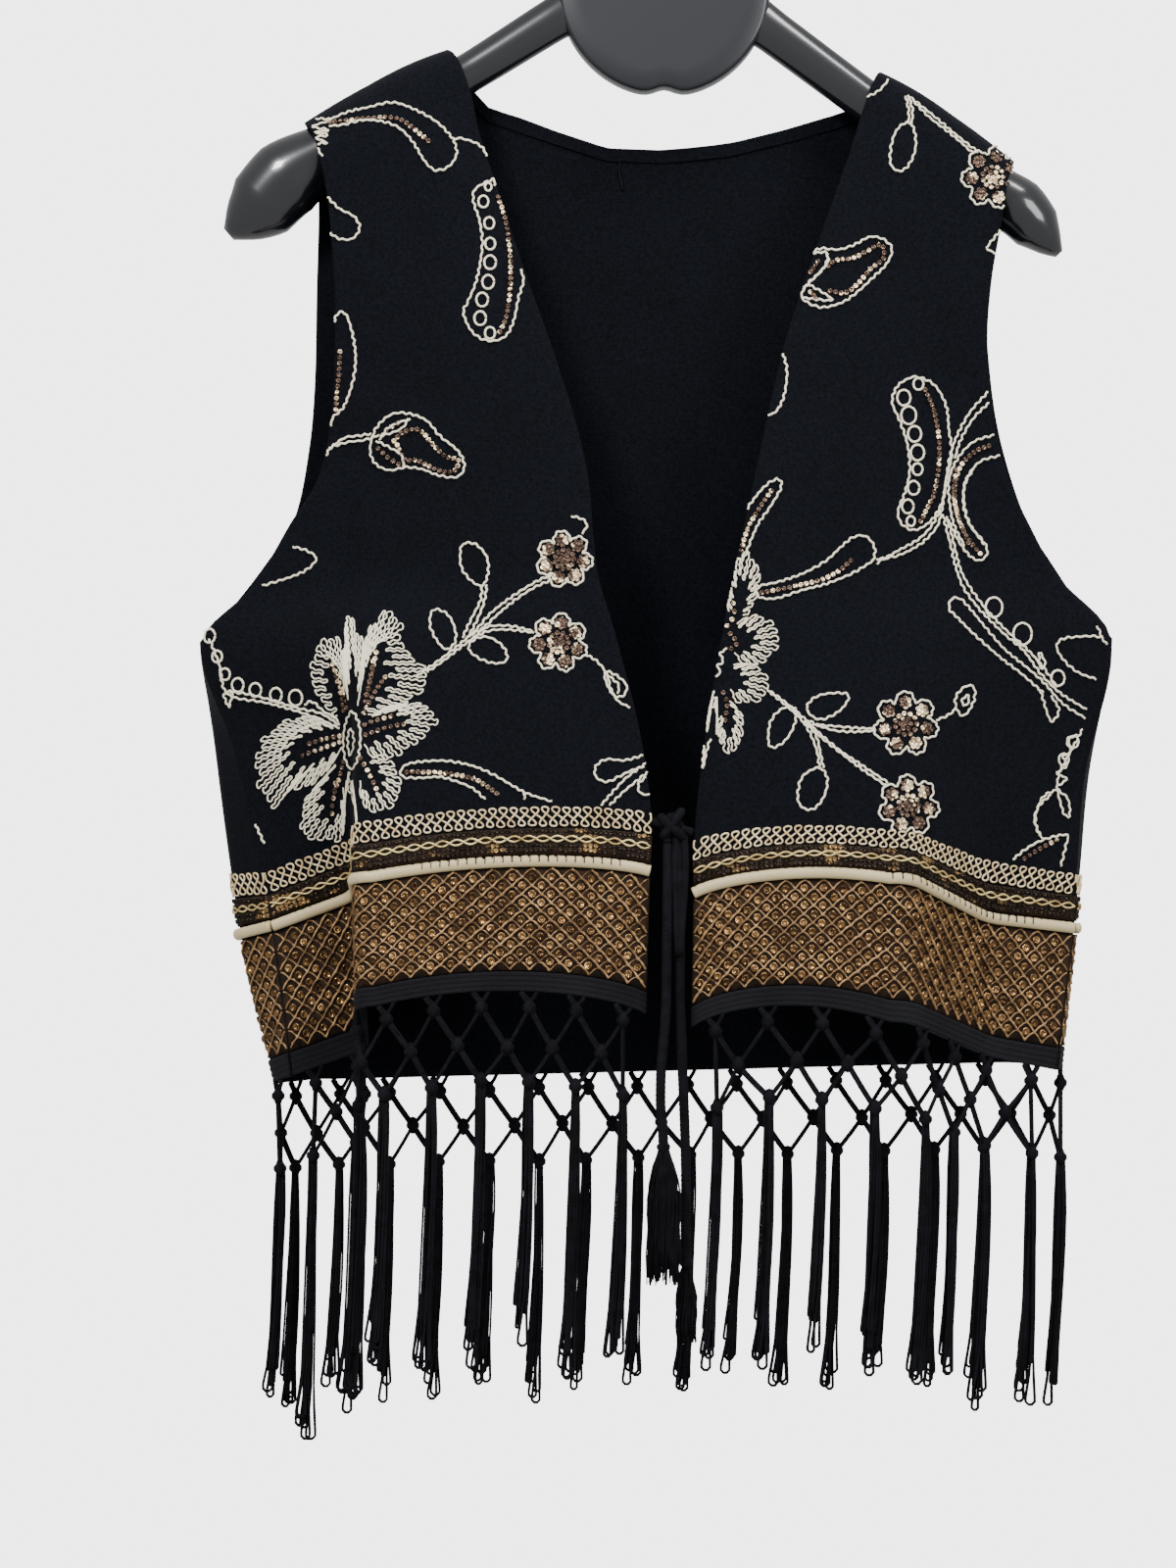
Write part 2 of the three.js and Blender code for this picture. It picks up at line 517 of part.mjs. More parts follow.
// The fringe of one panel: its tape, three rows of knots with the cords between them, and
// a tassel under each column. The lengths of the tassels are uneven, as a knotted fringe's are.
function fringe(panel, { columns, length, uneven, lean }) {
  const tapeRows = [TAPE.from, TAPE.to];
  const pieces = [wall(layer(panel, tapeRows, TRIM_GAP + TAPE.thick), layer(panel, tapeRows, TRIM_GAP))];
  const hem = hemLine(panel);
  const pitch = hem.total / columns;
  const knotAt = (row, column) => plus(hem.place((column + 0.5) * pitch), [0, 0, -KNOT_DROPS[row]]);
  const netCord = (from, to, aside) => (
    strand([plus(from, [0, aside, 0]), plus(to, [0, aside, 0])], [NET_CORD, NET_CORD], 3)
  );
  for (let column = 0; column < columns; column += 1) {
    const upper = knotAt(0, column);
    const lower = knotAt(1, column);
    pieces.push(netCord(plus(upper, [0, 0, KNOT_DROPS[0] + 1]), upper, 0));
    if (column < columns - 1) {
      pieces.push(netCord(upper, knotAt(1, column + 1), -NET_PASS), netCord(knotAt(0, column + 1), lower, NET_PASS));
    }
    pieces.push(knot(upper));
    const wave = Math.sin(2.3 * column);
    const end = length + uneven * wave - KNOT_DROPS[1];
    const down = (share) => plus(lower, [lean * share ** 2, 0.8 * wave * share, -end * share]);
    pieces.push(strand([plus(lower, [0, 0, 4]), lower, down(0.05), down(0.3), down(1)],
      [0.8, LOCK * 0.9, LOCK * 0.6, LOCK, LOCK * 0.7], 4));
  }
  return joined(pieces);
}

// Hanger: two contoured arms and a flat round hub, moulded in one.
function armLoft(sections) {
  const around = 12;
  const vertices = [];
  const triangles = [];
  sections.forEach((section, i) => {
    const before = sections[Math.max(i - 1, 0)];
    const after = sections[Math.min(i + 1, sections.length - 1)];
    const [dx, , dz] = unit([after.x - before.x, 0, after.z - before.z]);
    for (let n = 0; n < around; n += 1) {
      const angle = (2 * Math.PI * n) / around;
      const rise = section.high * Math.sin(angle);
      vertices.push([section.x - dz * rise, section.deep * Math.cos(angle), section.z + dx * rise]);
    }
  });
  for (let i = 0; i < sections.length - 1; i += 1) {
    for (let n = 0; n < around; n += 1) {
      const next = (n + 1) % around;
      const [a, b] = [i * around + n, i * around + next];
      triangles.push([a, b, b + around], [a, b + around, a + around]);
    }
  }
  for (let n = 1; n < around - 1; n += 1) {
    triangles.push([0, n + 1, n]);
    const last = (sections.length - 1) * around;
    triangles.push([last, last + n, last + n + 1]);
  }
  return geometryOf(vertices, triangles);
}

function hubPlate() {
  const steps = 56;
  const shape = new THREE.Shape(Array.from({ length: steps }, (_, i) => {
    const angle = (2 * Math.PI * i) / steps;
    const fromBottom = Math.abs(angle - 1.5 * Math.PI);
    const radius = HUB.radius * (1 - HUB.notch * Math.exp(-((fromBottom / HUB.notchWide) ** 2)));
    return new THREE.Vector2(radius * Math.cos(angle), radius * Math.sin(angle));
  }));
  const geometry = new THREE.ExtrudeGeometry(shape, { depth: HUB.thick, bevelEnabled: false });
  geometry.rotateX(Math.PI / 2);
  geometry.translate(HUB.x, HUB.thick / 2, HUB.z);
  return geometry;
}

function tube(points, radius, steps, sides) {
  const curve = new THREE.CatmullRomCurve3(points.map((point) => new THREE.Vector3(...point)));
  const shape = new THREE.Shape(Array.from({ length: sides }, (_, i) => {
    const angle = (2 * Math.PI * i) / sides;
    return new THREE.Vector2(radius * Math.cos(angle), radius * Math.sin(angle));
  }));
  return new THREE.ExtrudeGeometry(shape, { steps, extrudePath: curve, bevelEnabled: false });
}

// The hook's stem rises from the hub and bends into an open round hook.
function hookWire() {
  const middle = [0, 0, HOOK.wire - HOOK.bend];
  const hubTop = HUB.z + HUB.radius;
  const points = [[HUB.x - 0.2, 0, hubTop + TRIM_GAP], [HUB.x - 0.4, 0, hubTop + 4], [HUB.x + 1, 0, hubTop + 9]];
  const bends = 12;
  for (let i = 0; i <= bends; i += 1) {
    const angle = THREE.MathUtils.degToRad(HOOK.from + ((HOOK.to - HOOK.from) * i) / bends);
    points.push(plus(middle, [HOOK.bend * Math.cos(angle), 0, HOOK.bend * Math.sin(angle)]));
  }
  return tube(points, HOOK.wire, 28, 8);
}

// A brush tassel: a bound head with locks that spread below it.
function brushTassel({ at, length, spread, depth, locks }) {
  const head = plus(at, [0, 0, -5]);
  const pieces = [ball(head, [4.2, 3.6, 5], 10, 6)];
  for (let n = 0; n < locks; n += 1) {
    const angle = (2 * Math.PI * n) / locks;
    const out = [spread * Math.cos(angle), depth * Math.sin(angle), 0];
    const drop = (share, reach) => plus(plus(head, out, reach), [0, 0, -length * share + 5 * share]);
    const uneven = 1 - 0.05 * (n % 3);
    pieces.push(strand([drop(0.03, 0.25), drop(0.35, 0.75), drop(uneven, 1)], [1.2, 2.2, 1.6], 4));
  }
  return joined(pieces);
}

// The turned band inside the back's neck edge: it lies on the inner face of the back panel.
function neckBand() {
  const panel = PANELS.back;
  const first = SHOULDER_COLUMNS + 1;
  const last = panel.columns - SHOULDER_COLUMNS - 1;
  const ups = [0, 0.5, 1].map((share) => TOP - NECK_BAND.below - NECK_BAND.width * share);
  const inside = (depth) => ups.map((up) => Array.from({ length: last - first + 1 }, (_, i) => (
    plus(panel.surface(first + i, up), outward(panel, first + i, up), -depth)
  )));
  return wall(inside(CLOTH + TRIM_GAP), inside(CLOTH + TRIM_GAP + NECK_BAND.thick));
}

const vest = new THREE.Group();

function addPart(name, geometry, finish) {
  const mesh = new THREE.Mesh(geometry, finish.clone());
  mesh.name = name;
  vest.add(mesh);
}

addPart('hanger', joined([armLoft(ARM_LEFT), armLoft(ARM_RIGHT), hubPlate()]), FINISH.hanger);
addPart('hanger_hook', hookWire(), FINISH.hook);

addPart('back', clothPanel(PANELS.back, BACK_ROWS), FINISH.cloth);
addPart('front_left', clothPanel(PANELS.left, FRONT_ROWS), FINISH.cloth);
addPart('front_right', clothPanel(PANELS.right, FRONT_ROWS), FINISH.cloth);
addPart('back_neck_band', neckBand(), FINISH.band);

for (const [place, panel] of Object.entries(PANELS)) {
  for (const [name, sizes] of Object.entries(BORDER)) {
    addPart(`${name}_${place}`, trim(panel, sizes), FINISH[name]);
  }
}

addPart('fringe_left', fringe(PANELS.left, { columns: 10, length: 190, uneven: 6, lean: -5 }), FINISH.fringe);
addPart('fringe_right', fringe(PANELS.right, { columns: 8, length: 180, uneven: 6, lean: -5 }), FINISH.fringe);
addPart('fringe_back', fringe(PANELS.back, { columns: 18, length: 172, uneven: 6, lean: -5 }), FINISH.fringe);

addPart('tie_knot', ball(TIE_KNOT.at, TIE_KNOT.half, 14, 8), FINISH.fringe);
addPart('tie_left', tube(TIE_ROUTE_LEFT, TIE_CORD, 18, 8), FINISH.fringe);
addPart('tie_right', tube(TIE_ROUTE_RIGHT, TIE_CORD, 24, 8), FINISH.fringe);
addPart('tie_tassel_left', brushTassel(TIE_TASSELS.left), FINISH.fringe);
addPart('tie_tassel_right', brushTassel(TIE_TASSELS.right), FINISH.fringe);

export default vest;
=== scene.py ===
# Embroidered vest on a hanger, for looks: cloth, border, fringe, tie and embroidery
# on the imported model. Metres, +Z up, the fronts face -Y, the origin is the hook's inner top.
import json
import math

import bpy
import numpy as np
from mathutils import Matrix, Vector

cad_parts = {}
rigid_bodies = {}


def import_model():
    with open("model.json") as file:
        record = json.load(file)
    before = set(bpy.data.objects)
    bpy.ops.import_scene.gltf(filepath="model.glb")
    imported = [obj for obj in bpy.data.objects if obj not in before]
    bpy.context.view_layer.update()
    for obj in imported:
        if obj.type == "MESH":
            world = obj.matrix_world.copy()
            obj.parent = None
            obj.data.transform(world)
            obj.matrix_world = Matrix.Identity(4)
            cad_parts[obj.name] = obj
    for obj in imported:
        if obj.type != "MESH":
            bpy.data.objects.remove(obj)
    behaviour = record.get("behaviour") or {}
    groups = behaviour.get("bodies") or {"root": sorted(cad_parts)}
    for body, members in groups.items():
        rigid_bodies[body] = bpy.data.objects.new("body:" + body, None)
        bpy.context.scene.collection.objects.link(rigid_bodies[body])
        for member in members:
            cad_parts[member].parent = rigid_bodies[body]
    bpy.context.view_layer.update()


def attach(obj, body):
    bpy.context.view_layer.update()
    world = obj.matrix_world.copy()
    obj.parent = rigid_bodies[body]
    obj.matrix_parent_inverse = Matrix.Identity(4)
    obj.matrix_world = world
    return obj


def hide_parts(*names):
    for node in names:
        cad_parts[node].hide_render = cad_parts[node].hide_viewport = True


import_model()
scene = bpy.context.scene


# Camera.
# The photo is taken square on from about 1.8 m, level with the middle of the picture.
EYE = np.array([-0.0374, -1.8, -0.5262])
VIEW_HEIGHT = 0.832

camera = bpy.data.objects.new("camera", bpy.data.cameras.new("camera"))
scene.collection.objects.link(camera)
camera.location = EYE
camera.rotation_euler = (math.radians(90), 0, 0)
camera.data.sensor_fit = "VERTICAL"
camera.data.sensor_height = 36
camera.data.lens = 36 * 1.8 / VIEW_HEIGHT
scene.camera = camera


# Tie cords.
# Two woven cords hang free from the knot, each to a brush tassel.
CORD_RADIUS = 0.0023
TIE_LEFT = [
    [3.5, -58.6, -557.1], [3.4, -60.5, -566], [3.3, -62.6, -572], [3.2, -64.4, -578],
    [3.1, -65.6, -586], [3, -66.5, -595], [2.9, -67.3, -605], [2.8, -68, -615],
    [2.7, -68.5, -625], [2.5, -69, -636], [2, -69.5, -646], [1.4, -70, -655],
    [0.5, -70.5, -664], [-0.2, -71, -673], [-0.4, -72, -690], [0.6, -72.5, -700],
    [1, -72.8, -709.5],
]
TIE_RIGHT = [
    [8.6, -58.2, -557.1], [9, -60, -566], [9.3, -61.4, -572], [9.5, -62.5, -578],
    [9.7, -63.5, -595], [9.7, -63.9, -605], [9.7, -64, -615], [9.7, -64, -636],
    [10.4, -63.5, -655], [10.7, -63, -664], [11, -62.5, -673], [11.8, -61.5, -692],
    [12.5, -61, -712], [12.8, -61, -733], [12.6, -61.3, -753], [12.8, -61.5, -770],
]


def mesh_piece(name, verts, faces, smooth=True):
    """A mesh object from an array of points and lists of corner numbers."""
    data = bpy.data.meshes.new(name)
    data.from_pydata(np.asarray(verts, float).tolist(), [], [list(map(int, f)) for f in faces])
    if smooth:
        data.polygons.foreach_set("use_smooth", [True] * len(data.polygons))
    data.update()
    piece = bpy.data.objects.new(name, data)
    scene.collection.objects.link(piece)
    return piece


def spline(points, count):
    """Evenly spread points on a smooth line through the given ones."""
    p = np.asarray(points, float)
    slopes = np.gradient(p, axis=0)
    fine = []
    for i in range(len(p) - 1):
        for t in np.linspace(0, 1, 12, endpoint=False):
            a, b, c, d = 2 * t**3 - 3 * t**2 + 1, t**3 - 2 * t**2 + t, 3 * t**2 - 2 * t**3, t**3 - t**2
            fine.append(a * p[i] + b * slopes[i] + c * p[i + 1] + d * slopes[i + 1])
    fine.append(p[-1])
    fine = np.array(fine)
    reach = np.concatenate([[0], np.cumsum(np.linalg.norm(np.diff(fine, axis=0), axis=1))])
    at = np.linspace(0, reach[-1], count)
    return np.stack([np.interp(at, reach, fine[:, k]) for k in range(3)], 1)


def unit(v):
    """The vectors at length one."""
    return v / np.maximum(np.linalg.norm(v, axis=-1, keepdims=True), 1e-12)


def tube(path, radius, sides=6, up=(0, -1, 0), flat=1.0, closed=False, caps=True):
    """Points and faces of a tube along a path. radius is one number or one for each point.
    flat squeezes it along up."""
    path = np.asarray(path, float)
    if closed:
        ahead = np.roll(path, -1, 0) - np.roll(path, 1, 0)
    else:
        ahead = np.gradient(path, axis=0)
    ahead = unit(ahead)
    up = np.broadcast_to(np.asarray(up, float), path.shape)
    across = unit(np.cross(ahead, up))
    lift = unit(np.cross(across, ahead))
    turns = np.arange(sides) * 2 * math.pi / sides + math.pi / sides
    radius = np.broadcast_to(np.asarray(radius, float), (len(path),))[:, None, None]
    ring = (
        across[:, None] * np.cos(turns)[None, :, None]
        + lift[:, None] * np.sin(turns)[None, :, None] * flat
    )
    verts = (path[:, None] + ring * radius).reshape(-1, 3)
    count = len(path)
    spans = count if closed else count - 1
    i = np.arange(spans)[:, None]
    k = np.arange(sides)[None, :]
    j = (i + 1) % count
    n = (k + 1) % sides
    faces = np.stack([i * sides + k, j * sides + k, j * sides + n, i * sides + n], -1).reshape(-1, 4).tolist()
    if caps and not closed:
        faces.append(list(range(sides)))
        faces.append(list(range((count - 1) * sides, count * sides))[::-1])
    return verts, faces


class Heap:
    """Many small parts gathered into one mesh."""

    def __init__(self):
        self.verts, self.faces, self.count = [], [], 0

    def add(self, verts, faces):
        """Adds one part."""
        self.verts.append(np.asarray(verts, float))
        self.faces.extend([[c + self.count for c in f] for f in faces])
        self.count += len(verts)

    def repeat(self, verts, faces, origins, axes):
        """Adds a copy of a part at each origin, its x, y and z laid along the rows of axes."""
        placed = origins[:, None] + np.einsum("vk,nkd->nvd", verts, axes)
        for one in placed:
            self.add(one, faces)

    def piece(self, name, smooth=True):
        """The mesh object of all the parts."""
        return mesh_piece(name, np.concatenate(self.verts), self.faces, smooth)


def wound_cord(path, radius, pitch, name):
    """A woven round cord: a tube whose surface rises and falls along crossed threads."""
    length = np.linalg.norm(np.diff(path, axis=0), axis=1).sum()
    line = spline(path, max(24, int(length / pitch * 5)))
    sides = 12
    verts, faces = tube(line, radius, sides)
    rings = verts.reshape(-1, sides, 3)
    reach = np.linspace(0, length, len(line))[:, None]
    turn = np.arange(sides)[None, :] * 2 * math.pi / sides
    along = reach / pitch * math.pi
    wave = np.abs(np.sin(turn * 1.5 + along)) + np.abs(np.sin(turn * 1.5 - along))
    grown = line[:, None] + (rings - line[:, None]) * (0.96 + 0.13 * wave)[..., None]
    return mesh_piece(name, grown.reshape(-1, 3), faces)


tie_left = wound_cord(np.array(TIE_LEFT) / 1000, CORD_RADIUS, 0.0026, "tie_left_cord")
tie_right = wound_cord(np.array(TIE_RIGHT) / 1000, CORD_RADIUS, 0.0026, "tie_right_cord")
for cord_piece, node in ((tie_left, "tie_left"), (tie_right, "tie_right")):
    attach(cord_piece, "root")
    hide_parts(node)


# Cloth panels.
# Felted black wool, 1.6 mm thick: two fronts with one deep hanging fold each, and a back
# that wraps round both sides. The sections are those of the CAD source, in millimetres.
CLOTH = 1.6
UNDERARM, TOP = 205, 496
FOLD_ROUND = 9
FINE = 3
LEFT_FRONT = [
    # up, centre or neck edge, crest, valley, side edge
    [0, [-8, -60, -641], [-156, -62, -640], [-154, -8, -666], [-193, -8, -680]],
    [72, [-6, -58, -572], [-157, -60, -577], [-158, -14, -587], [-203, -9, -604]],
    [103, [-5, -56, -539], [-158, -56, -545], [-160, -22, -554], [-208, -10, -572]],
    [150, [-11, -52, -497], [-160, -49, -500], [-163, -31, -504], [-222, -11, -510]],
    [205, [-24, -46, -446], [-164, -38, -450], [-170, -35, -450], [-241, -12, -451]],
    [232, [-32, -43, -419], None, None, [-214, -13, -422]],
    [260, [-35, -40, -394], None, None, [-194, -15, -389]],
    [285, [-37, -37, -369], None, None, [-179, -18, -365]],
    [315, [-44, -33, -337], None, None, [-172, -20, -332]],
    [355, [-58, -28, -293], None, None, [-170, -22, -286]],
    [390, [-70, -24, -259], None, None, [-171, -23, -253]],
    [430, [-84, -20, -217], None, None, [-174, -23, -219]],
    [463, [-95, -17, -182], None, None, [-178, -23, -198]],
    [480, [-99, -15, -163], None, None, [-181, -21, -187]],
    [489, [-104, -13.5, -148], None, None, [-184, -17, -181]],
    [493.5, [-108.5, -9, -140], None, None, [-187, -9, -177.5]],
    [496, [-112, -0.2, -136.5], None, None, [-188, -0.2, -175.5]],
]
RIGHT_FRONT = [
    [0, [16, -58, -648], [126, -64, -648], [174, -16, -670], [209, -8, -677]],
    [72, [17, -57, -583], [126, -62, -577], [170, -20, -599], [218, -9, -605]],
    [103, [17, -56, -553], [126, -58, -549], [169, -26, -565], [220, -10, -573]],
    [150, [23, -52, -501], [129, -50, -505], [159, -34, -511], [224, -11, -522]],
    [205, [32, -46, -448], [133, -38, -451], [154, -33, -451], [238, -12, -449]],
    [232, [38, -43, -419], None, None, [211, -13, -418]],
    [260, [43, -40, -395], None, None, [196, -15, -392]],
    [285, [48, -37, -372], None, None, [184, -18, -367]],
    [315, [55, -33, -340], None, None, [176, -20, -337]],
    [355, [65, -28, -297], None, None, [172, -22, -296]],
    [390, [76, -24, -263], None, None, [174, -23, -263]],
    [430, [90, -20, -223], None, None, [179, -23, -233]],
    [463, [101, -17, -192], None, None, [182, -23, -213]],
    [480, [107, -15, -172], None, None, [184, -21, -206]],
    [489, [112, -13.5, -158], None, None, [186, -17, -201]],
    [493.5, [115.5, -9, -151], None, None, [187.5, -9, -197.5]],
    [496, [118, -0.2, -148.5], None, None, [188, -0.2, -195.5]],
]
BACK_SIDES = [
    # up, left x and z, right x and z
    [0, -206, -686, 215, -677], [72, -225, -610, 222, -606], [103, -231, -573, 226, -574],
    [150, -239, -510, 231, -522], [205, -245, -451, 243, -449],
]
BACK_ARMHOLE_LEFT = [
    [-241.4, -12, -451], [-225, 6, -430], [-209, 12, -408], [-195, 14, -386], [-187, 17, -348],
    [-184, 19, -313], [-183, 22, -263], [-182, 23, -213], [-184, 18, -183], [-188, 0.2, -175.5],
]
BACK_ARMHOLE_RIGHT = [
    [238.4, -12, -449], [224, 6, -430], [210, 12, -408], [198, 14, -388], [185, 17, -348],
    [179, 20, -313], [176, 22, -263], [180, 23, -228], [185, 18, -203], [188, 0.2, -195.5],
]
BACK_NECK = [
    [-112, 0.2, -136.5], [-107, 13, -147], [-94, 17, -162], [-72, 18, -170], [-37, 22, -182],
    [-13, 23, -186], [22, 23, -184], [50, 21, -180], [84, 18, -171], [103, 17, -165],
    [110, 14, -160], [118, 0.2, -148.5],
]


def through(keys, values, key):
    """The value at key on a smooth curve through a table."""
    i = 0
    while i < len(keys) - 2 and key > keys[i + 1]:
        i += 1
    before, after = max(i - 1, 0), min(i + 2, len(keys) - 1)
    span = keys[i + 1] - keys[i]
    t = (key - keys[i]) / span
    start = (values[i + 1] - values[before]) / (keys[i + 1] - keys[before]) * span
    end = (values[after] - values[i]) / (keys[after] - keys[i]) * span
    return (
        (2 * t**3 - 3 * t**2 + 1) * values[i] + (t**3 - 2 * t**2 + t) * start
        + (3 * t**2 - 2 * t**3) * values[i + 1] + (t**3 - t**2) * end
    )


def leg(a, b, steps):
    """Points from a towards b, without b."""
    t = np.arange(steps)[:, None] / steps
    return a + (b - a) * t


def corner(a, middle, b, steps):
    """Points round a soft corner, with both ends."""
    t = np.linspace(0, 1, steps + 1)[:, None]
    return (a + (middle - a) * t) * (1 - t) + (middle + (b - middle) * t) * t


def towards(a, b, length):
    """The point that lies a length from a towards b."""
    return a + (b - a) * min(length / np.linalg.norm(b - a), 0.42)


def shoulder_rise(share, up):
    """The arch of the shoulder seam over the hanger's arm."""
    return 2.5 * 4 * share * (1 - share) * max(0, 1 - (TOP - up) / 60)


def front_row(table, up):
    """The section of a front at a height, from its centre edge to its side edge."""
    rows = []
    for _, centre, crest, valley, side in table:
        centre, side = np.array(centre, float), np.array(side, float)
        bowed = [centre + (side - centre) * s + [0, -4 * s * (1 - s), 0] for s in (0.66, 0.73)]
        rows.append(np.concatenate([
            centre, bowed[0] if crest is None else crest, bowed[1] if valley is None else valley, side,
        ]))
    section = through([row[0] for row in table], rows, up)
    centre, crest, valley, side = section[:3], section[3:6], section[6:9], section[9:]
    inner = towards(crest, centre, FOLD_ROUND)
    flat = leg(centre, inner, 8 * FINE)
    t = np.arange(8 * FINE) / (8 * FINE)
    arch = max(0, 1 - max(up, 0) / UNDERARM)
    flat[:, 1] -= 3 * np.sin(np.pi * t)
    flat[:, 2] += arch * (8.5 * 4 * t * (1 - t) - 3 * np.exp(-t / 0.08))
    crest_turn = corner(inner, crest, towards(crest, valley, FOLD_ROUND), 3 * FINE)
    valley_turn = corner(
        towards(valley, crest, FOLD_ROUND), valley, towards(valley, side, FOLD_ROUND), 3 * FINE)
    between = leg(crest_turn[-1], valley_turn[0], FINE)[1:]
    outer = leg(valley_turn[-1], side, 4 * FINE)[1:]
    points = np.concatenate([flat, crest_turn, between, valley_turn, outer, [side]])
    share = (points[:, 0] - centre[0]) / (side[0] - centre[0])
    points[:, 2] += [shoulder_rise(s, up) for s in share]
    return points


def back_below(up):
    """The section of the back at a height up to the underarm."""
    lx, lz, rx, rz = through([row[0] for row in BACK_SIDES], np.array(BACK_SIDES, float)[:, 1:], up)
    seam_left = front_row(LEFT_FRONT, up)[-1] + [-0.35, 0, 0]
    seam_right = front_row(RIGHT_FRONT, up)[-1] + [0.35, 0, 0]

    def half(seam, side, back):
        out = corner(towards(side, seam, FOLD_ROUND), side, towards(side, back, FOLD_ROUND), 2 * FINE)
        middle = np.array([0, 38, back[2]])
        inn = corner(towards(back, side, FOLD_ROUND), back, towards(back, middle, FOLD_ROUND), 2 * FINE)
        return np.concatenate([leg(seam, out[0], 2 * FINE), out, leg(out[-1], inn[0], FINE)[1:], inn])

    left = half(seam_left, np.array([lx, 10, lz]), np.array([lx + 22, 38, lz]))
    right = half(seam_right, np.array([rx, 10, rz]), np.array([rx - 22, 38, rz]))[::-1]
    return np.concatenate([left, leg(left[-1], right[0], 14 * FINE)[1:], right])


def back_row(up):
    """The section of the back at any height: above the underarm it narrows to the armholes,
    and at the top it rolls over the arms to the shoulder seams."""
    if up <= UNDERARM:
        return back_below(up)
    share = (up - UNDERARM) / (TOP - UNDERARM)
    base = back_below(UNDERARM)
    last = len(base) - 1
    neck_keys = np.linspace(0, 1, len(BACK_NECK))
    neck = np.array(BACK_NECK, float)
    edges = [np.array(BACK_ARMHOLE_LEFT, float), np.array(BACK_ARMHOLE_RIGHT, float)]
    row = []
    for c in range(last + 1):
        inward = min(c, last - c) / FINE
        edge = edges[0] if c <= last / 2 else edges[1]
        if inward < 9:
            top = edge[-1] + (neck[0 if c <= last / 2 else -1] - edge[-1]) * inward / 9
        else:
            top = through(neck_keys, neck, (c / FINE - 9) / 10)
        row.append(upper_point(base[c], top, inward, share, up))
    row = np.array(row)
    straight = smooth_step(share / 0.12) * (1 - smooth_step((share - 0.86) / 0.07))
    sides = ((0, edges[0], row[9 * FINE].copy()), (last, edges[1], row[last - 9 * FINE].copy()))
    for side, edge, inner in sides:
        keys = (edge[:, 2] - edge[0, 2]) / (edge[-1, 2] - edge[0, 2])
        edge_point = through(keys, edge, share)
        inward = np.abs(np.arange(last + 1) - side) / FINE
        near = inward < 9
        row += (edge_point - row[side]) * (np.maximum(0, 1 - inward / 6) ** 2)[:, None]
        line = edge_point + (inner - edge_point) * (inward / 9)[:, None]
        row[near] += (line[near] - row[near]) * straight
    return row


def smooth_step(t):
    """A soft rise from 0 to 1."""
    t = min(max(t, 0), 1)
    return t * t * (3 - 2 * t)


def upper_point(base, top, inward, share, up):
    """A point of the back's upper part, between the underarm's level and the shoulder."""
    point = base + (top - base) * share
    if inward <= 9:
        depth = 23 - 7 * inward / 9
        drop = 1 - math.sqrt(max(0, 1 - max(0, (share - 0.93) / 0.07) ** 2))
        point[1] = base[1] + (depth - base[1]) * share - (depth - 0.2) * drop
        point[2] += shoulder_rise(inward / 9, up)
    return point


class Panel:
    """A panel's outer face as a fine grid of points, rows going up from the hem."""

    def __init__(self, row_at, sign, ups):
        self.ups = np.array(ups, float)
        self.grid = np.array([row_at(up) for up in ups])
        self.sign = sign
        across = np.gradient(self.grid, axis=1)
        upwards = np.gradient(self.grid, axis=0)
        self.normal = unit(np.cross(across, upwards)) * sign
        steps = np.linalg.norm(np.diff(self.grid, axis=1), axis=2)
        self.reach = np.concatenate([np.zeros((len(ups), 1)), np.cumsum(steps, axis=1)], axis=1)

    def sample(self, field, row, column):
        """A field's value at fractional rows and columns."""
        row = np.clip(row, 0, field.shape[0] - 1.001)
        column = np.clip(column, 0, field.shape[1] - 1.001)
        r, c = row.astype(int), column.astype(int)
        a, b = (row - r)[..., None], (column - c)[..., None]
        return (
            field[r, c] * (1 - a) * (1 - b) + field[r + 1, c] * a * (1 - b)
            + field[r, c + 1] * (1 - a) * b + field[r + 1, c + 1] * a * b
        )

    def at(self, reach, up, lift=0):
        """Points at a distance along the section from its first edge and a height up."""
        reach, up = np.broadcast_arrays(np.asarray(reach, float), np.asarray(up, float))
        row = np.interp(up, self.ups, np.arange(len(self.ups)))
        r = np.clip(row.astype(int), 0, len(self.ups) - 2)
        mix = row - r
        column = np.empty(reach.shape)
        for i in np.ndindex(reach.shape):
            line = self.reach[r[i]] * (1 - mix[i]) + self.reach[r[i] + 1] * mix[i]
            column[i] = np.interp(reach[i], line, np.arange(len(line)))
        point = self.sample(self.grid, row, column)
        normal = unit(self.sample(self.normal, row, column))
        lift = np.asarray(lift, float)
        return point + normal * (lift[..., None] if lift.ndim else lift), normal

    def width(self, up):
        """The length of the section at a height."""
        return float(np.interp(up, self.ups, self.reach[:, -1]))


def heights(step):
    """Rows from hem to shoulder, closer where the shoulder rolls."""
    return sorted(set(
        list(np.arange(0, 480, step)) + [72, 103, 150, 205, 480, 484, 489, 491.5, 493.5, 495, 496]))


ROW_STEP = 5
left_face = Panel(lambda up: front_row(LEFT_FRONT, up), -1, heights(ROW_STEP))
right_face = Panel(lambda up: front_row(RIGHT_FRONT, up), 1, heights(ROW_STEP))
back_face = Panel(back_row, -1, heights(ROW_STEP))


def soft_noise(p, scale, seed):
    """A slow uneven wave over points, from -1 to 1."""
    a = np.sin(p[..., 0] / scale + seed) + np.sin(p[..., 2] / scale * 1.3 + seed * 2.1)
    b = np.sin((p[..., 0] + p[..., 2]) / scale * 0.7 + seed * 0.7) + np.sin(
        (p[..., 0] - p[..., 2]) / scale * 0.9 + seed * 1.9)
    return (a + b) / 4


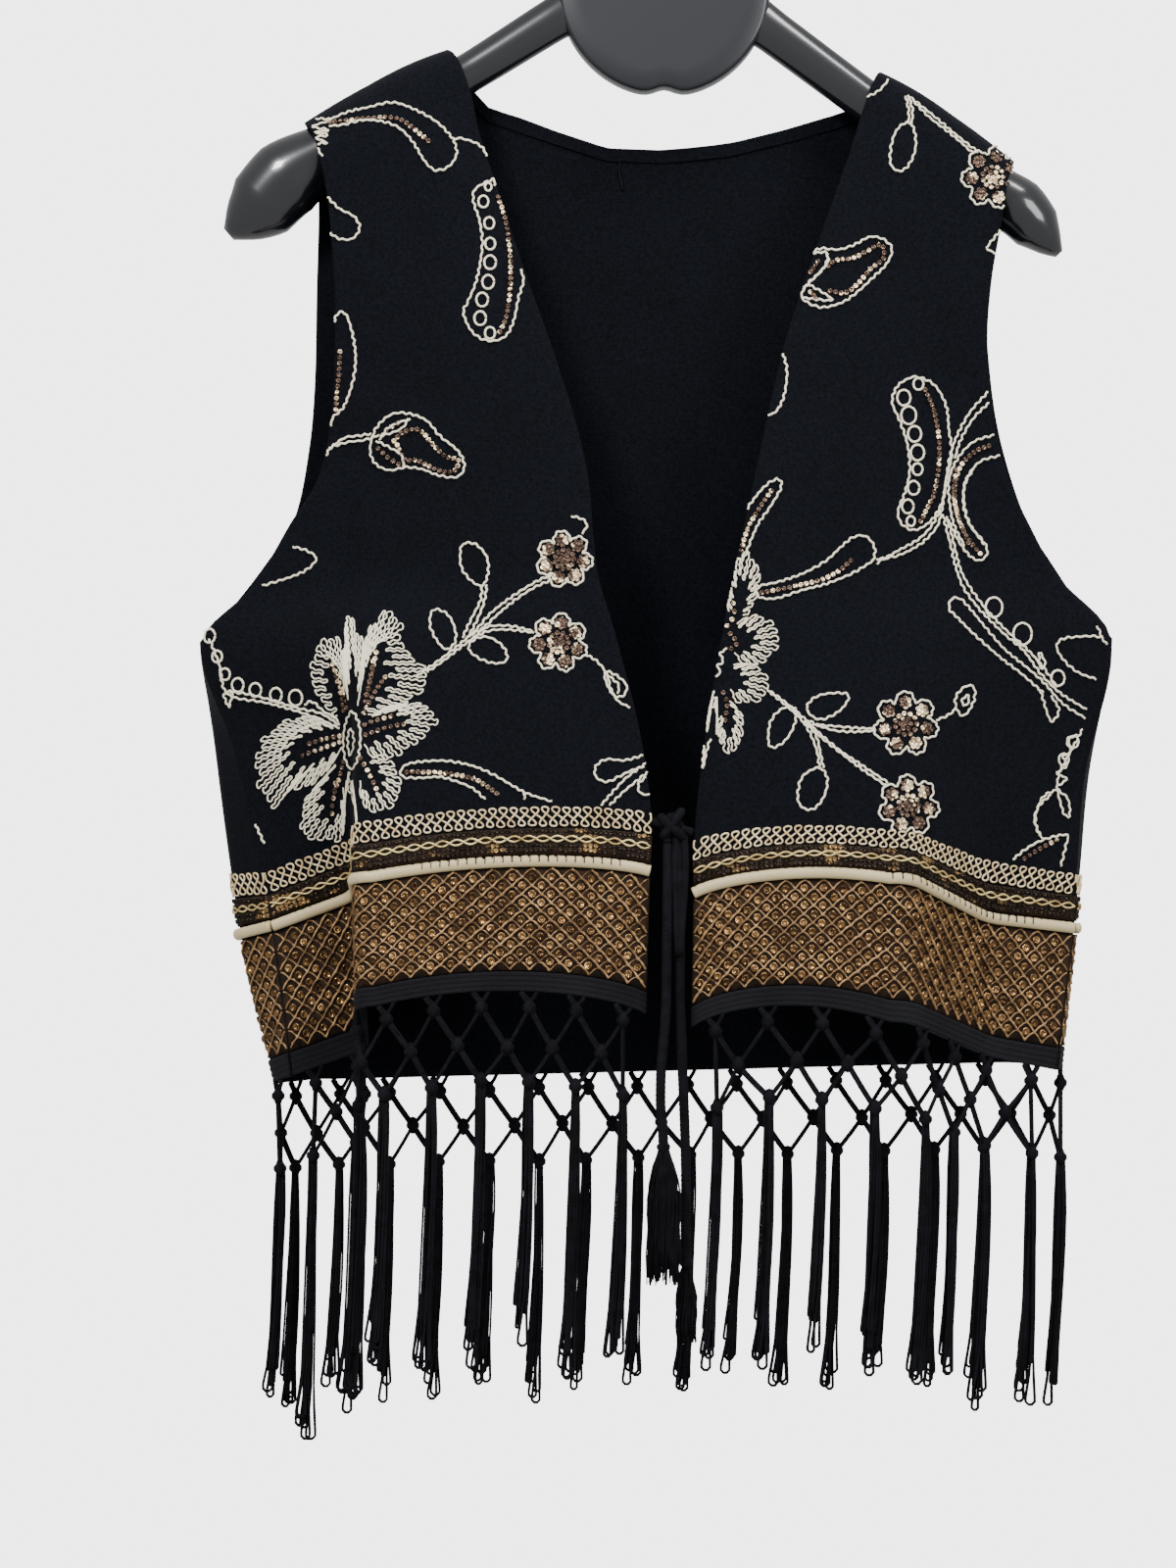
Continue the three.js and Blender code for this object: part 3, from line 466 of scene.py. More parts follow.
def trough(grid, start, end, width, depth):
    """The drop of a soft crease that runs between two places, each (x, z)."""
    a, b = np.array(start, float), np.array(end, float)
    p = grid[..., [0, 2]]
    t = np.clip(((p - a) @ (b - a)) / ((b - a) @ (b - a)), 0, 1)
    off = np.linalg.norm(p - (a + t[..., None] * (b - a)), axis=-1)
    return -depth * np.exp(-(off / width) ** 2) * np.sin(np.pi * np.clip(t, 0.08, 0.92)) ** 0.7


CREASES = {
    # panel: start x z, end x z, width, depth
    "left": [
        [(-172, -330), (-120, -400), 12, 1.3], [(-168, -300), (-110, -330), 9, 0.8],
        [(-190, -430), (-150, -520), 12, 1.4], [(-60, -330), (-90, -440), 14, 1.0],
        [(-120, -220), (-150, -280), 11, 0.8], [(-163, -350), (-160, -540), 5, 3.2],
        [(-176, -390), (-172, -500), 9, -1.4],
    ],
    "right": [
        [(178, -340), (130, -410), 12, 1.3], [(176, -300), (128, -340), 9, 0.8],
        [(196, -440), (165, -520), 12, 1.4], [(60, -350), (92, -450), 14, 1.0],
        [(110, -230), (150, -300), 11, 0.8],
    ],
    "back": [
        [(-120, -200), (-60, -420), 16, 2.8], [(120, -220), (70, -430), 15, 2.4],
        [(-10, -260), (-30, -520), 18, 2.6], [(-170, -420), (-120, -600), 13, 3.4],
        [(160, -420), (110, -610), 14, 3.0], [(40, -480), (60, -660), 13, 2.6],
        [(-80, -500), (-85, -640), 11, 2.2], [(5, -150), (0, -300), 14, 1.6],
    ],
}


def cloth(panel, name, seed):
    """A panel as a closed thin shell with its creases. The edges stay where they are."""
    grid = panel.grid
    rows, columns = grid.shape[:2]
    edge = np.minimum(np.arange(columns), np.arange(columns)[::-1]) / (3 * FINE)
    keep = np.minimum(1, edge)[None, :] * np.clip((TOP - panel.ups) / 60, 0, 1)[:, None]
    drop = sum(trough(grid, *crease) for crease in CREASES[name])
    drop = drop + 0.5 * soft_noise(grid, 33, seed)
    border = np.clip((panel.ups - 103) / 40, 0, 1)[:, None]
    inward = panel.normal * (drop * keep * border)[..., None]
    panel.grid = grid + inward
    outer = panel.grid
    inner = outer - panel.normal * CLOTH
    verts = np.concatenate([outer.reshape(-1, 3), inner.reshape(-1, 3)]) / 1000
    back = rows * columns
    faces = []
    for r in range(rows - 1):
        for c in range(columns - 1):
            i = r * columns + c
            quad = [i, i + 1, i + 1 + columns, i + columns]
            under = [q + back for q in quad]
            faces += [quad, under[::-1]] if panel.sign > 0 else [quad[::-1], under]
    rim = (
        [c for c in range(columns)] + [r * columns + columns - 1 for r in range(1, rows)]
        + [(rows - 1) * columns + c for c in range(columns - 2, -1, -1)]
        + [r * columns for r in range(rows - 2, 0, -1)]
    )
    for a, b in zip(rim, rim[1:] + rim[:1]):
        quad = [a, a + back, b + back, b]
        faces.append(quad if panel.sign > 0 else quad[::-1])
    piece = mesh_piece("cloth_" + name, verts, faces)
    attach(piece, "root")
    return piece


cloth_left = cloth(left_face, "left", 1.0)
cloth_right = cloth(right_face, "right", 2.0)
cloth_back = cloth(back_face, "back", 3.0)
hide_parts("front_left")
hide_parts("front_right")
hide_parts("back")


# Border of the hem.
# Four trims sewn one above the other all round: knotted copper net with a cup sequin in
# each diamond, cream piping, bronze sequins under a twisted gold chain, and a loop braid.
FACES = {"left": left_face, "right": right_face, "back": back_face}
FACE_LIFT = 0.3


def placed(face, reach, up, lift):
    """Origins on a panel and their axes: right, up and outwards."""
    origin, out = face.at(reach, up, lift)
    above, _ = face.at(reach, np.asarray(up, float) + 1.5, lift)
    rise = unit(above - origin)
    rise = unit(rise - out * np.sum(rise * out, -1, keepdims=True))
    right = np.cross(rise, out)
    return origin, np.stack([right, rise, out], -2)


def flat_path(face, reach, up, lift):
    """A line laid on a panel, and the outward directions along it."""
    return face.at(np.asarray(reach, float), np.asarray(up, float), lift)


def band(face, low, high, thick, lift=FACE_LIFT, rows=3, ribs=0, rib_deep=0.0):
    """A strip of ribbon on a panel, from one height to another."""
    ups = np.linspace(low, high, rows + 1)
    columns = face.grid.shape[1]
    row = np.interp(ups, face.ups, np.arange(len(face.ups)))[:, None] * np.ones((1, columns))
    col = np.ones((rows + 1, 1)) * np.arange(columns)[None, :]
    base = face.sample(face.grid, row, col)
    if face is not back_face:
        base[:, 0] += unit(base[:, 0] - base[:, 1]) * 0.3
        base[:, -1] += unit(base[:, -1] - base[:, -2]) * 0.3
    normal = unit(face.sample(face.normal, row, col))
    share = (ups - low) / (high - low)
    stand = thick - rib_deep * (0.5 + 0.5 * np.cos(2 * math.pi * ribs * share))
    outer = base + normal * (lift + stand)[:, None, None]
    inner = base + normal * lift
    verts = np.concatenate([outer.reshape(-1, 3), inner.reshape(-1, 3)]) / 1000
    n = (rows + 1) * columns
    faces = []
    for r in range(rows):
        for c in range(columns - 1):
            i = r * columns + c
            quad = [i, i + 1, i + 1 + columns, i + columns]
            under = [q + n for q in quad]
            faces += [quad, under[::-1]] if face.sign > 0 else [quad[::-1], under]
    rim = (
        list(range(columns)) + [r * columns + columns - 1 for r in range(1, rows + 1)]
        + [rows * columns + c for c in range(columns - 2, -1, -1)]
        + [r * columns for r in range(rows - 1, 0, -1)]
    )
    for a, b in zip(rim, rim[1:] + rim[:1]):
        quad = [a, a + n, b + n, b]
        faces.append(quad if face.sign > 0 else quad[::-1])
    return verts, faces


def finish_piece(piece, nodes):
    """Fixes a piece to the body in place of its solids."""
    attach(piece, "root")
    if nodes:
        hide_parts(*nodes)
    return piece


def gimp(side, face):
    """Loop braid: one cord that runs in a row of leaning figures of eight."""
    total = face.width(97)
    units = int(total / 5.3)
    pitch = total / units
    t = np.linspace(0, 2 * math.pi * units, units * 20 + 1)
    lean = 2.5 + 0.15 * np.sin(t * 0.37)
    rise = 4.75 * np.cos(t) * (1 + 0.05 * np.sin(t * 0.23))
    along = pitch * t / (2 * math.pi) - lean * np.sin(2 * t) + 0.2 * rise
    up = 97.2 + rise
    lift = 0.55 + FACE_LIFT + 0.45 * np.sin(t) ** 2 * np.sign(np.sin(t))
    path, out = flat_path(face, np.clip(along, 0.3, total - 0.3), up, np.maximum(lift, 0.45))
    verts, faces = tube(path / 1000, 0.00052, 5, up=out)
    return finish_piece(mesh_piece("gimp_cord_" + side, verts, faces), ["gimp_" + side])


def ring_part(radius, hole, height, around=8):
    """A small cupped sequin: points and faces about its centre, z outwards."""
    profile = [(radius, 0.0), (radius * 0.96, height), (radius * 0.62, height * 0.75), (hole, height * 0.2)]
    turns = np.arange(around) * 2 * math.pi / around
    verts = [[r * math.cos(a), r * math.sin(a), z] for r, z in profile for a in turns]
    faces = []
    for p in range(len(profile) - 1):
        for k in range(around):
            n = (k + 1) % around
            faces.append([p * around + k, p * around + n, (p + 1) * around + n, (p + 1) * around + k])
    verts.append([0, 0, 0])
    hub = len(verts) - 1
    last = (len(profile) - 1) * around
    faces += [[last + k, last + (k + 1) % around, hub] for k in range(around)]
    return np.array(verts), faces


def tilt(axes, seed, amount):
    """Axes turned a little at random, so that every sequin catches the light on its own."""
    rng = np.random.default_rng(seed)
    lean = rng.normal(0, amount, (len(axes), 2))
    out = unit(axes[:, 2] + axes[:, 0] * lean[:, :1] + axes[:, 1] * lean[:, 1:])
    right = unit(np.cross(axes[:, 1], out))
    return np.stack([right, np.cross(out, right), out], 1)


def strip(side, face, seed):
    """Sequin strip: dark ground, rows of small bronze sequins and the twisted gold chain."""
    ground = Heap()
    ground.add(*band(face, 78.6, 91.2, 0.7))
    piece = finish_piece(ground.piece("strip_ground_" + side), ["strip_" + side])
    rng = np.random.default_rng(seed)
    beads = Heap()
    part = ring_part(1.25, 0.45, 0.6, 7)
    for up in (90.1, 87.5, 83.4, 80.9):
        total = face.width(up)
        reach = np.arange(1.4, total - 1.3, 2.5)
        reach += rng.normal(0, 0.2, len(reach))
        keep = rng.random(len(reach)) > 0.06
        heights = np.full(keep.sum(), up) + rng.normal(0, 0.18, keep.sum())
        origin, axes = placed(face, reach[keep], heights, 1.1)
        beads.repeat(part[0], part[1], origin, tilt(axes, seed, 0.22))
    beads_piece = beads.piece("strip_sequins_" + side)
    beads_piece.data.transform(SHRINK)
    finish_piece(beads_piece, [])
    total = face.width(86)
    turns = total / 7.4
    t = np.linspace(0, 1, int(turns * (14)))
    chain = Heap()
    for phase in (0, math.pi):
        angle = 2 * math.pi * turns * t / 2 + phase
        path, out = flat_path(
            face, 0.4 + (total - 0.8) * t, 86.2 + 1.35 * np.sin(angle), 1.9 + 0.45 * np.cos(angle))
        chain.add(*tube(path / 1000, 0.00055, 5, up=out))
    chain_piece = chain.piece("chain_" + side)
    finish_piece(chain_piece, [])
    return [piece, beads_piece, chain_piece]


def piping(side, face):
    """Cream satin piping, drawn in by a stitch every 4.6 mm, harder in some places. Thin dark rings over the
    deeper pinches are painted shade in the gathers.
    """
    total = face.width(75)
    count = int(total / (0.5))
    reach = np.linspace(0.2, total - 0.2, count)
    deep = 0.08 + 0.3 * np.clip(np.sin(reach / 38 - (0.2 if face is left_face else 2.4)), 0, 1)
    pinch = 1 - deep * np.exp(-((((reach + 0.5 * np.sin(reach)) / 4.6) % 1 - 0.5) / 0.09) ** 2)
    pinch += 0.025 * np.sin(reach * 1.9) * np.sin(reach * 0.31)
    path, out = flat_path(face, reach, 75.0, FACE_LIFT + 1.9)
    path[0] += unit(path[0] - path[1]) * 0.3
    path[-1] += unit(path[-1] - path[-2]) * 0.3
    verts, faces = tube(path / 1000, 0.003 * (0.94 + 0.06 * pinch), 10, up=out, flat=0.68)
    rings = verts.reshape(len(path), 10, 3)
    top = np.array([k in ((0, 1, 2, 9) if face.sign < 0 else (2, 3, 4, 5)) for k in range(10)])
    middle = path[:, None] / 1000
    rings = np.where(top[None, :, None], middle + (rings - middle) * pinch[:, None, None], rings)
    cord = finish_piece(
        mesh_piece("piping_cord_" + side, rings.reshape(-1, 3), faces), ["piping_" + side])
    # Painted shade: thin dark rings over the deeper pinches, in the dark ground finish, stand for the shade
    # in the gathers.
    stitches = Heap()
    bend = np.radians([8, 30, 52, 74, 96])
    for n in range(1, int(total / 4.6)):
        at = (n + 0.5) * 4.6 - 0.4
        if np.interp(at, reach, deep) > 0.14:
            line, out = flat_path(
                face, np.full(5, at), 75 + 2.75 * np.cos(bend), FACE_LIFT + 1.9 + 1.95 * np.sin(bend))
            stitches.add(*tube(line / 1000, 0.00034, 4, up=out))
    thread = finish_piece(stitches.piece("piping_stitches_" + side), [])
    return [cord, thread]


# Where the cords that rise to the right lie on top of the net (1) and where those that
# fall do (-1), by millimetres to the right of the hook. Between them they lie level.
SLANTS = [
    (-240, 0.0), (-185, 0.2), (-170, 1.0), (-158, 0.9), (-140, 0.1), (-118, 0.2), (-100, 1.0),
    (-76, 1.0), (-64, -0.6), (-50, -1.0), (-12, -1.0), (12, 0.9), (40, 1.0), (52, 0.2), (86, 0.0),
    (98, 0.9), (110, 0.9), (120, -0.6), (130, -1.0), (175, -1.0), (188, -0.6), (200, 0.1), (240, 0.0),
]


def slant(face, place):
    """How far the rising cords lie on top, at places on a panel."""
    if face is back_face:
        return np.sin(place[:, 0] / 21)
    return np.interp(place[:, 0], [x for x, _ in SLANTS], [w for _, w in SLANTS])


def bronze(side, face, seed):
    """Copper net: two families of slanting twisted cords, first one and then the other on
    top, and a cup sequin in every diamond."""
    low, high = 12.6, 71.0
    half_rows = 12
    total = face.width(45)
    columns = int(total / (9.3 if face is right_face else 9.9))
    ground = Heap()
    ground.add(*band(face, 12, 71.5, 0.5, rows=6))
    ground_piece = finish_piece(ground.piece("bronze_ground_" + side), ["bronze_" + side])
    cords = Heap()
    steps = 8
    for family in (1, -1):
        for k in range(-6, columns + 7):
            t = np.linspace(0, half_rows, half_rows * steps + 1)
            across = (k + family * t / 2) / columns
            bow = 0.8 * np.abs(np.sin(math.pi * t))
            up = high - (high - low) * t / half_rows + bow
            inside = (across > 0.0005) & (across < 0.9995)
            if inside.sum() < 3:
                continue
            across, up, t = across[inside], up[inside], t[inside]
            widths = np.array([face.width(u) for u in up])
            ground_line, _ = flat_path(face, across * widths, up, 0)
            rising = family * (1 if face.sign > 0 else -1) < 0
            over = 0.5 + 0.5 * slant(face, ground_line) * (1 if rising else -1)
            lift = 0.75 + 0.8 * over + 0.15 * np.cos(2 * math.pi * t)
            path, out = flat_path(face, across * widths, up, lift)
            thick = (0.42 + 0.38 * over) * (1 + 0.22 * np.cos(t * 2 * math.pi * 2))
            cords.add(*tube(path / 1000, thick / 1000, 4, up=out))
    cords_piece = finish_piece(cords.piece("bronze_cords_" + side), [])
    cups = Heap()
    part = ring_part(2.15, 0.8, 1.0, 9)
    rng = np.random.default_rng(seed)
    for j in range(half_rows - 1):
        up = high - (high - low) * (j + 1) / half_rows + 0.2
        k = np.arange(columns + 1) + (0.0 if (j + 1) % 2 else 0.5)
        across = k / columns
        across = across[(across > 0.009) & (across < 0.991)]
        spread = rng.normal(0, 0.25, len(across))
        origin, axes = placed(face, across * face.width(up) + spread, np.full(len(across), up), 0.9)
        cups.repeat(part[0], part[1], origin, tilt(axes, seed + j, 0.2))
    cups_piece = cups.piece("bronze_cups_" + side)
    cups_piece.data.transform(SHRINK)
    finish_piece(cups_piece, [])
    return [ground_piece, cords_piece, cups_piece]


SHRINK = Matrix.Scale(0.001, 4)
TRIMS = {}
for number, (side, face) in enumerate(FACES.items()):
    TRIMS[side] = (
        [gimp(side, face)] + piping(side, face) + strip(side, face, 40 + number)
        + bronze(side, face, 50 + number))


# Knotted fringe.
# Ribbed black tape along the hem, three rows of knots, and a tassel of looped cord under
# each column. The loops end at uneven heights, as in the photo.
FRINGES = {
    # columns, length below the hem
    "left": (10, 190), "right": (8, 180), "back": (18, 172),
}
KNOT_ROWS = [8.0, 27.5, 47.0]


def knot_part(wide, tall, deep):
    """A small pulled knot, with its turns of cord round it."""
    verts, faces, rings, around = [], [], 7, 8
    for i in range(rings + 1):
        a = math.pi * i / rings
        for k in range(around):
            b = 2 * math.pi * k / around
            r = 1 + 0.14 * math.sin(2 * b + 5 * a)
            out = r * math.sin(a)
            verts.append([wide * out * math.cos(b), tall * r * math.cos(a), deep * out * math.sin(b)])
    for i in range(rings):
        for k in range(around):
            n = (k + 1) % around
            faces.append([i * around + k, i * around + n, (i + 1) * around + n, (i + 1) * around + k])
    return np.array(verts), faces


UPRIGHT = np.array([[1, 0, 0], [0, 0, 1], [0, -1, 0]], float)     # stands a knot part up


def sagging(a, b, steps, sag):
    """A short cord from a to b that hangs a little."""
    t = np.linspace(0, 1, steps + 1)[:, None]
    return a + (b - a) * t + np.array([0, 0, -sag]) * 4 * t * (1 - t)


def tassel(heap, root, length, lean, rng, loops):
    """Looped cords side by side that hang from one knot."""
    for n in range(loops):
        place = (n + 0.5) / loops * 2 - 1
        dx, dy = 2.1 * place + rng.normal(0, 0.25), rng.normal(0, 1.3)
        free = rng.random() < 0.45
        full = length * (rng.uniform(0.9, 1.0) if free else rng.uniform(0.82, 0.92))
        wide = rng.uniform(2.0, 3.6) if free else rng.uniform(0.1, 0.7)
        stray = rng.normal(0, 0.3) + place * (rng.uniform(0.6, 2.0) if free else 0.2)
        phase = rng.uniform(0, 6)
        steps = 12
        t = np.linspace(0, 1, steps + 1)
        open_by = 1.2 + wide * np.clip((t - 0.82) / 0.18, 0, 1) ** 1.5
        base_x = (dx * (0.65 + 0.35 * np.minimum(1, t * 5)) + stray * t**2.2 + lean * t**2
                  + 0.5 * np.sin(phase + 5 * t))
        base_y = dy * (0.5 + 0.5 * np.minimum(1, t * 4)) + 0.5 * np.cos(phase + 4 * t)
        base_z = -full * t
        down = np.stack([base_x - open_by * 0.5, base_y, base_z], 1)
        rise = np.stack([base_x + open_by * 0.5, base_y + 0.5, base_z], 1)[::-1]
        turns = np.linspace(0, math.pi, 6)[1:-1]
        mid = (down[-1] + rise[0]) / 2
        bend = np.stack([
            mid[0] - np.cos(turns) * open_by[-1] * 0.62, np.full(4, mid[1]),
            mid[2] - np.sin(turns) * open_by[-1] * 0.9], 1)
        path = np.concatenate([down, bend, rise]) + root
        thick = np.full(len(path), 0.00078)
        thick[steps - 1:-steps + 1] = 0.001
        heap.add(*tube(path / 1000, thick, 4, up=(0, -1, 0)))


def fringe(side, face, seed):
    """The tape, net and tassels of one panel."""
    columns, length = FRINGES[side]
    rng = np.random.default_rng(seed)
    tape = mesh_piece("fringe_tape_" + side, *band(face, -0.5, 11.4, 1.9, rows=16, ribs=4, rib_deep=0.5))
    finish_piece(tape, ["fringe_" + side])
    total = face.width(0)
    pitch = total / columns

    def at(row, column):
        reach = np.clip((column + 0.5) * pitch, 0.5, total - 0.5)
        point, _ = face.at(np.array([reach]), np.array([0.0]), 1.2)
        wander = rng.normal(0, 0.7, 3) * [1, 0.5, 1]
        return point[0] + [0, 0, -KNOT_ROWS[row]] + wander * (0.3 if row == 0 else 1)

    upper = [at(0, c) for c in range(columns)]
    middle = [at(1, c + 0.5) for c in range(-1, columns)]
    lower = [at(2, c) for c in range(columns)]
    net = Heap()
    part = knot_part(3.4, 4.2, 3.0)
    knots = np.array(upper + middle[1:-1] + lower)
    net.repeat(part[0] / 1000, part[1], knots / 1000, np.broadcast_to(UPRIGHT, (len(knots), 3, 3)))

    def pair(a, b, apart=0.55):
        for s in (-1, 1):
            path = sagging(a, b, 5, 0.5) + np.array([0.3 * s, s * apart, s * 0.6])
            net.add(*tube(path / 1000, 0.0011, 6, up=(0, -1, 0)))

    for c in range(columns):
        for s in (-1, 1):
            start, _ = face.at(
                np.array([np.clip((c + 0.5) * pitch + s * 4.2, 0.3, total - 0.3)]), np.array([0.2]), 1.2)
            pair(start[0], upper[c] + [0, 0, 2], 0.4)
        for n in (c, c + 1):
            if 0 < n < columns:
                pair(upper[c], middle[n])
                pair(middle[n], lower[c])
        if c in (0, columns - 1):
            pair(upper[c], lower[c])
        tassel(net, lower[c], length + 6 * math.sin(2.3 * c) - KNOT_ROWS[2] - 1.0, -4.5, rng, 9)
    net_piece = net.piece("fringe_net_" + side)
    finish_piece(net_piece, [])
    return [tape, net_piece]


for number, (side, face) in enumerate(FACES.items()):
    TRIMS[side] += fringe(side, face, 60 + number)


# Tie knot and its tassels.
# The cords come out of one pulled knot at the centre edges and end in brush tassels.
KNOT_AT = np.array([6, -57.2, -548])
knot_heap = Heap()
for turn, high, size in ((0.95, 1.4, 7.4), (-0.75, -0.8, 7.8)):
    angle = np.linspace(0, 2 * math.pi, 28, endpoint=False)
    loop = np.stack([
        size * math.cos(turn) * np.cos(angle), 4.0 * np.sin(angle),
        high + size * math.sin(turn) * np.cos(angle)], 1)
    knot_heap.add(*tube((loop + KNOT_AT) / 1000, 0.0025, 8, up=(0, 0, 1), closed=True))
for start, end in (((-9.5, 1.5, 2.5), (-4, -1, 1)), ((9.8, 1.5, -3), (4, -1, -1)),
                   ((-2.5, 0, -5), (-2.4, -1.2, -8.6)), ((2.5, 0, -5), (2.6, -1, -8.6))):
    line = np.array([start, [(a + b) / 2 for a, b in zip(start, end)], end]) + KNOT_AT
    knot_heap.add(*tube(spline(line, 8) / 1000, 0.0024, 8))
for bight in ([[2, -1, -5], [1.2, -5, -22], [1.5, -7.5, -48], [2.8, -8.5, -66]],
              [[6, -1, -5], [6.4, -4.5, -22], [4.8, -7, -48], [3.4, -8.5, -66]]):
    knot_heap.add(*tube(spline(np.array(bight) + KNOT_AT, 24) / 1000, 0.0021, 8))
lump, lump_faces = knot_part(6.2, 6.5, 3.6)
knot_heap.add(lump @ UPRIGHT / 1000 + KNOT_AT / 1000, lump_faces)
finish_piece(knot_heap.piece("tie_knot_cords"), ["tie_knot"])

BRUSHES = {
    # top, length, spread, depth, threads
    "left": ((1, -72.8, -709.8), 70, 8.2, 5.0, 190),
    "right": ((12.8, -61.5, -770.3), 42, 4.8, 3.4, 90),
}


def brush(side, seed):
    """A brush tassel: a bound head and fine threads that spread below it."""
    top, length, spread, depth, threads = BRUSHES[side]
    rng = np.random.default_rng(seed)
    heap = Heap()
    head, head_faces = knot_part(3.4, 3.6, 3.0)
    heap.add(head @ UPRIGHT / 1000 + (np.array(top) + [0, 0, -1.2]) / 1000, head_faces)
    down = np.linspace(0, 1, 16)
    swell = 0.24 + 0.62 * np.minimum(1, (down * 2.6) ** 0.8) - 0.25 * np.clip((down - 0.7) / 0.3, 0, 1)
    middle = np.stack([0 * down, 0 * down, -2 - length * 0.86 * down], 1) + top
    core, core_faces = tube(middle / 1000, spread * swell / 1000, 24, up=(0, -1, 0), flat=depth / spread)
    ripple = 1 + 0.05 * rng.normal(0, 1, (1, 24, 1)) + 0.02 * rng.normal(0, 1, (16, 24, 1))
    rings = core.reshape(16, 24, 3)
    heap.add((middle[:, None] / 1000 + (rings - middle[:, None] / 1000) * ripple).reshape(-1, 3), core_faces)
    for n in range(threads):
        angle, out = rng.uniform(0, 2 * math.pi), rng.uniform(0.8, 1.05)
        reach = length * rng.uniform(0.8, 1.0)
        t = np.linspace(0, 1, 8)
        flare = 0.24 + 0.76 * np.minimum(1, (t * 2.6) ** 0.8)
        x = spread * out * math.cos(angle) * flare + 0.7 * np.sin(t * 9 + n)
        y = depth * out * math.sin(angle) * flare + 0.4 * np.cos(t * 8 + n)
        path = np.stack([x * 0.98, y, -2 - reach * t], 1) + top
        heap.add(*tube(path / 1000, 0.00045, 3, up=(0, -1, 0)))
    return finish_piece(heap.piece("tie_brush_" + side), ["tie_tassel_" + side])


brush_left = brush("left", 71)
brush_right = brush("right", 72)
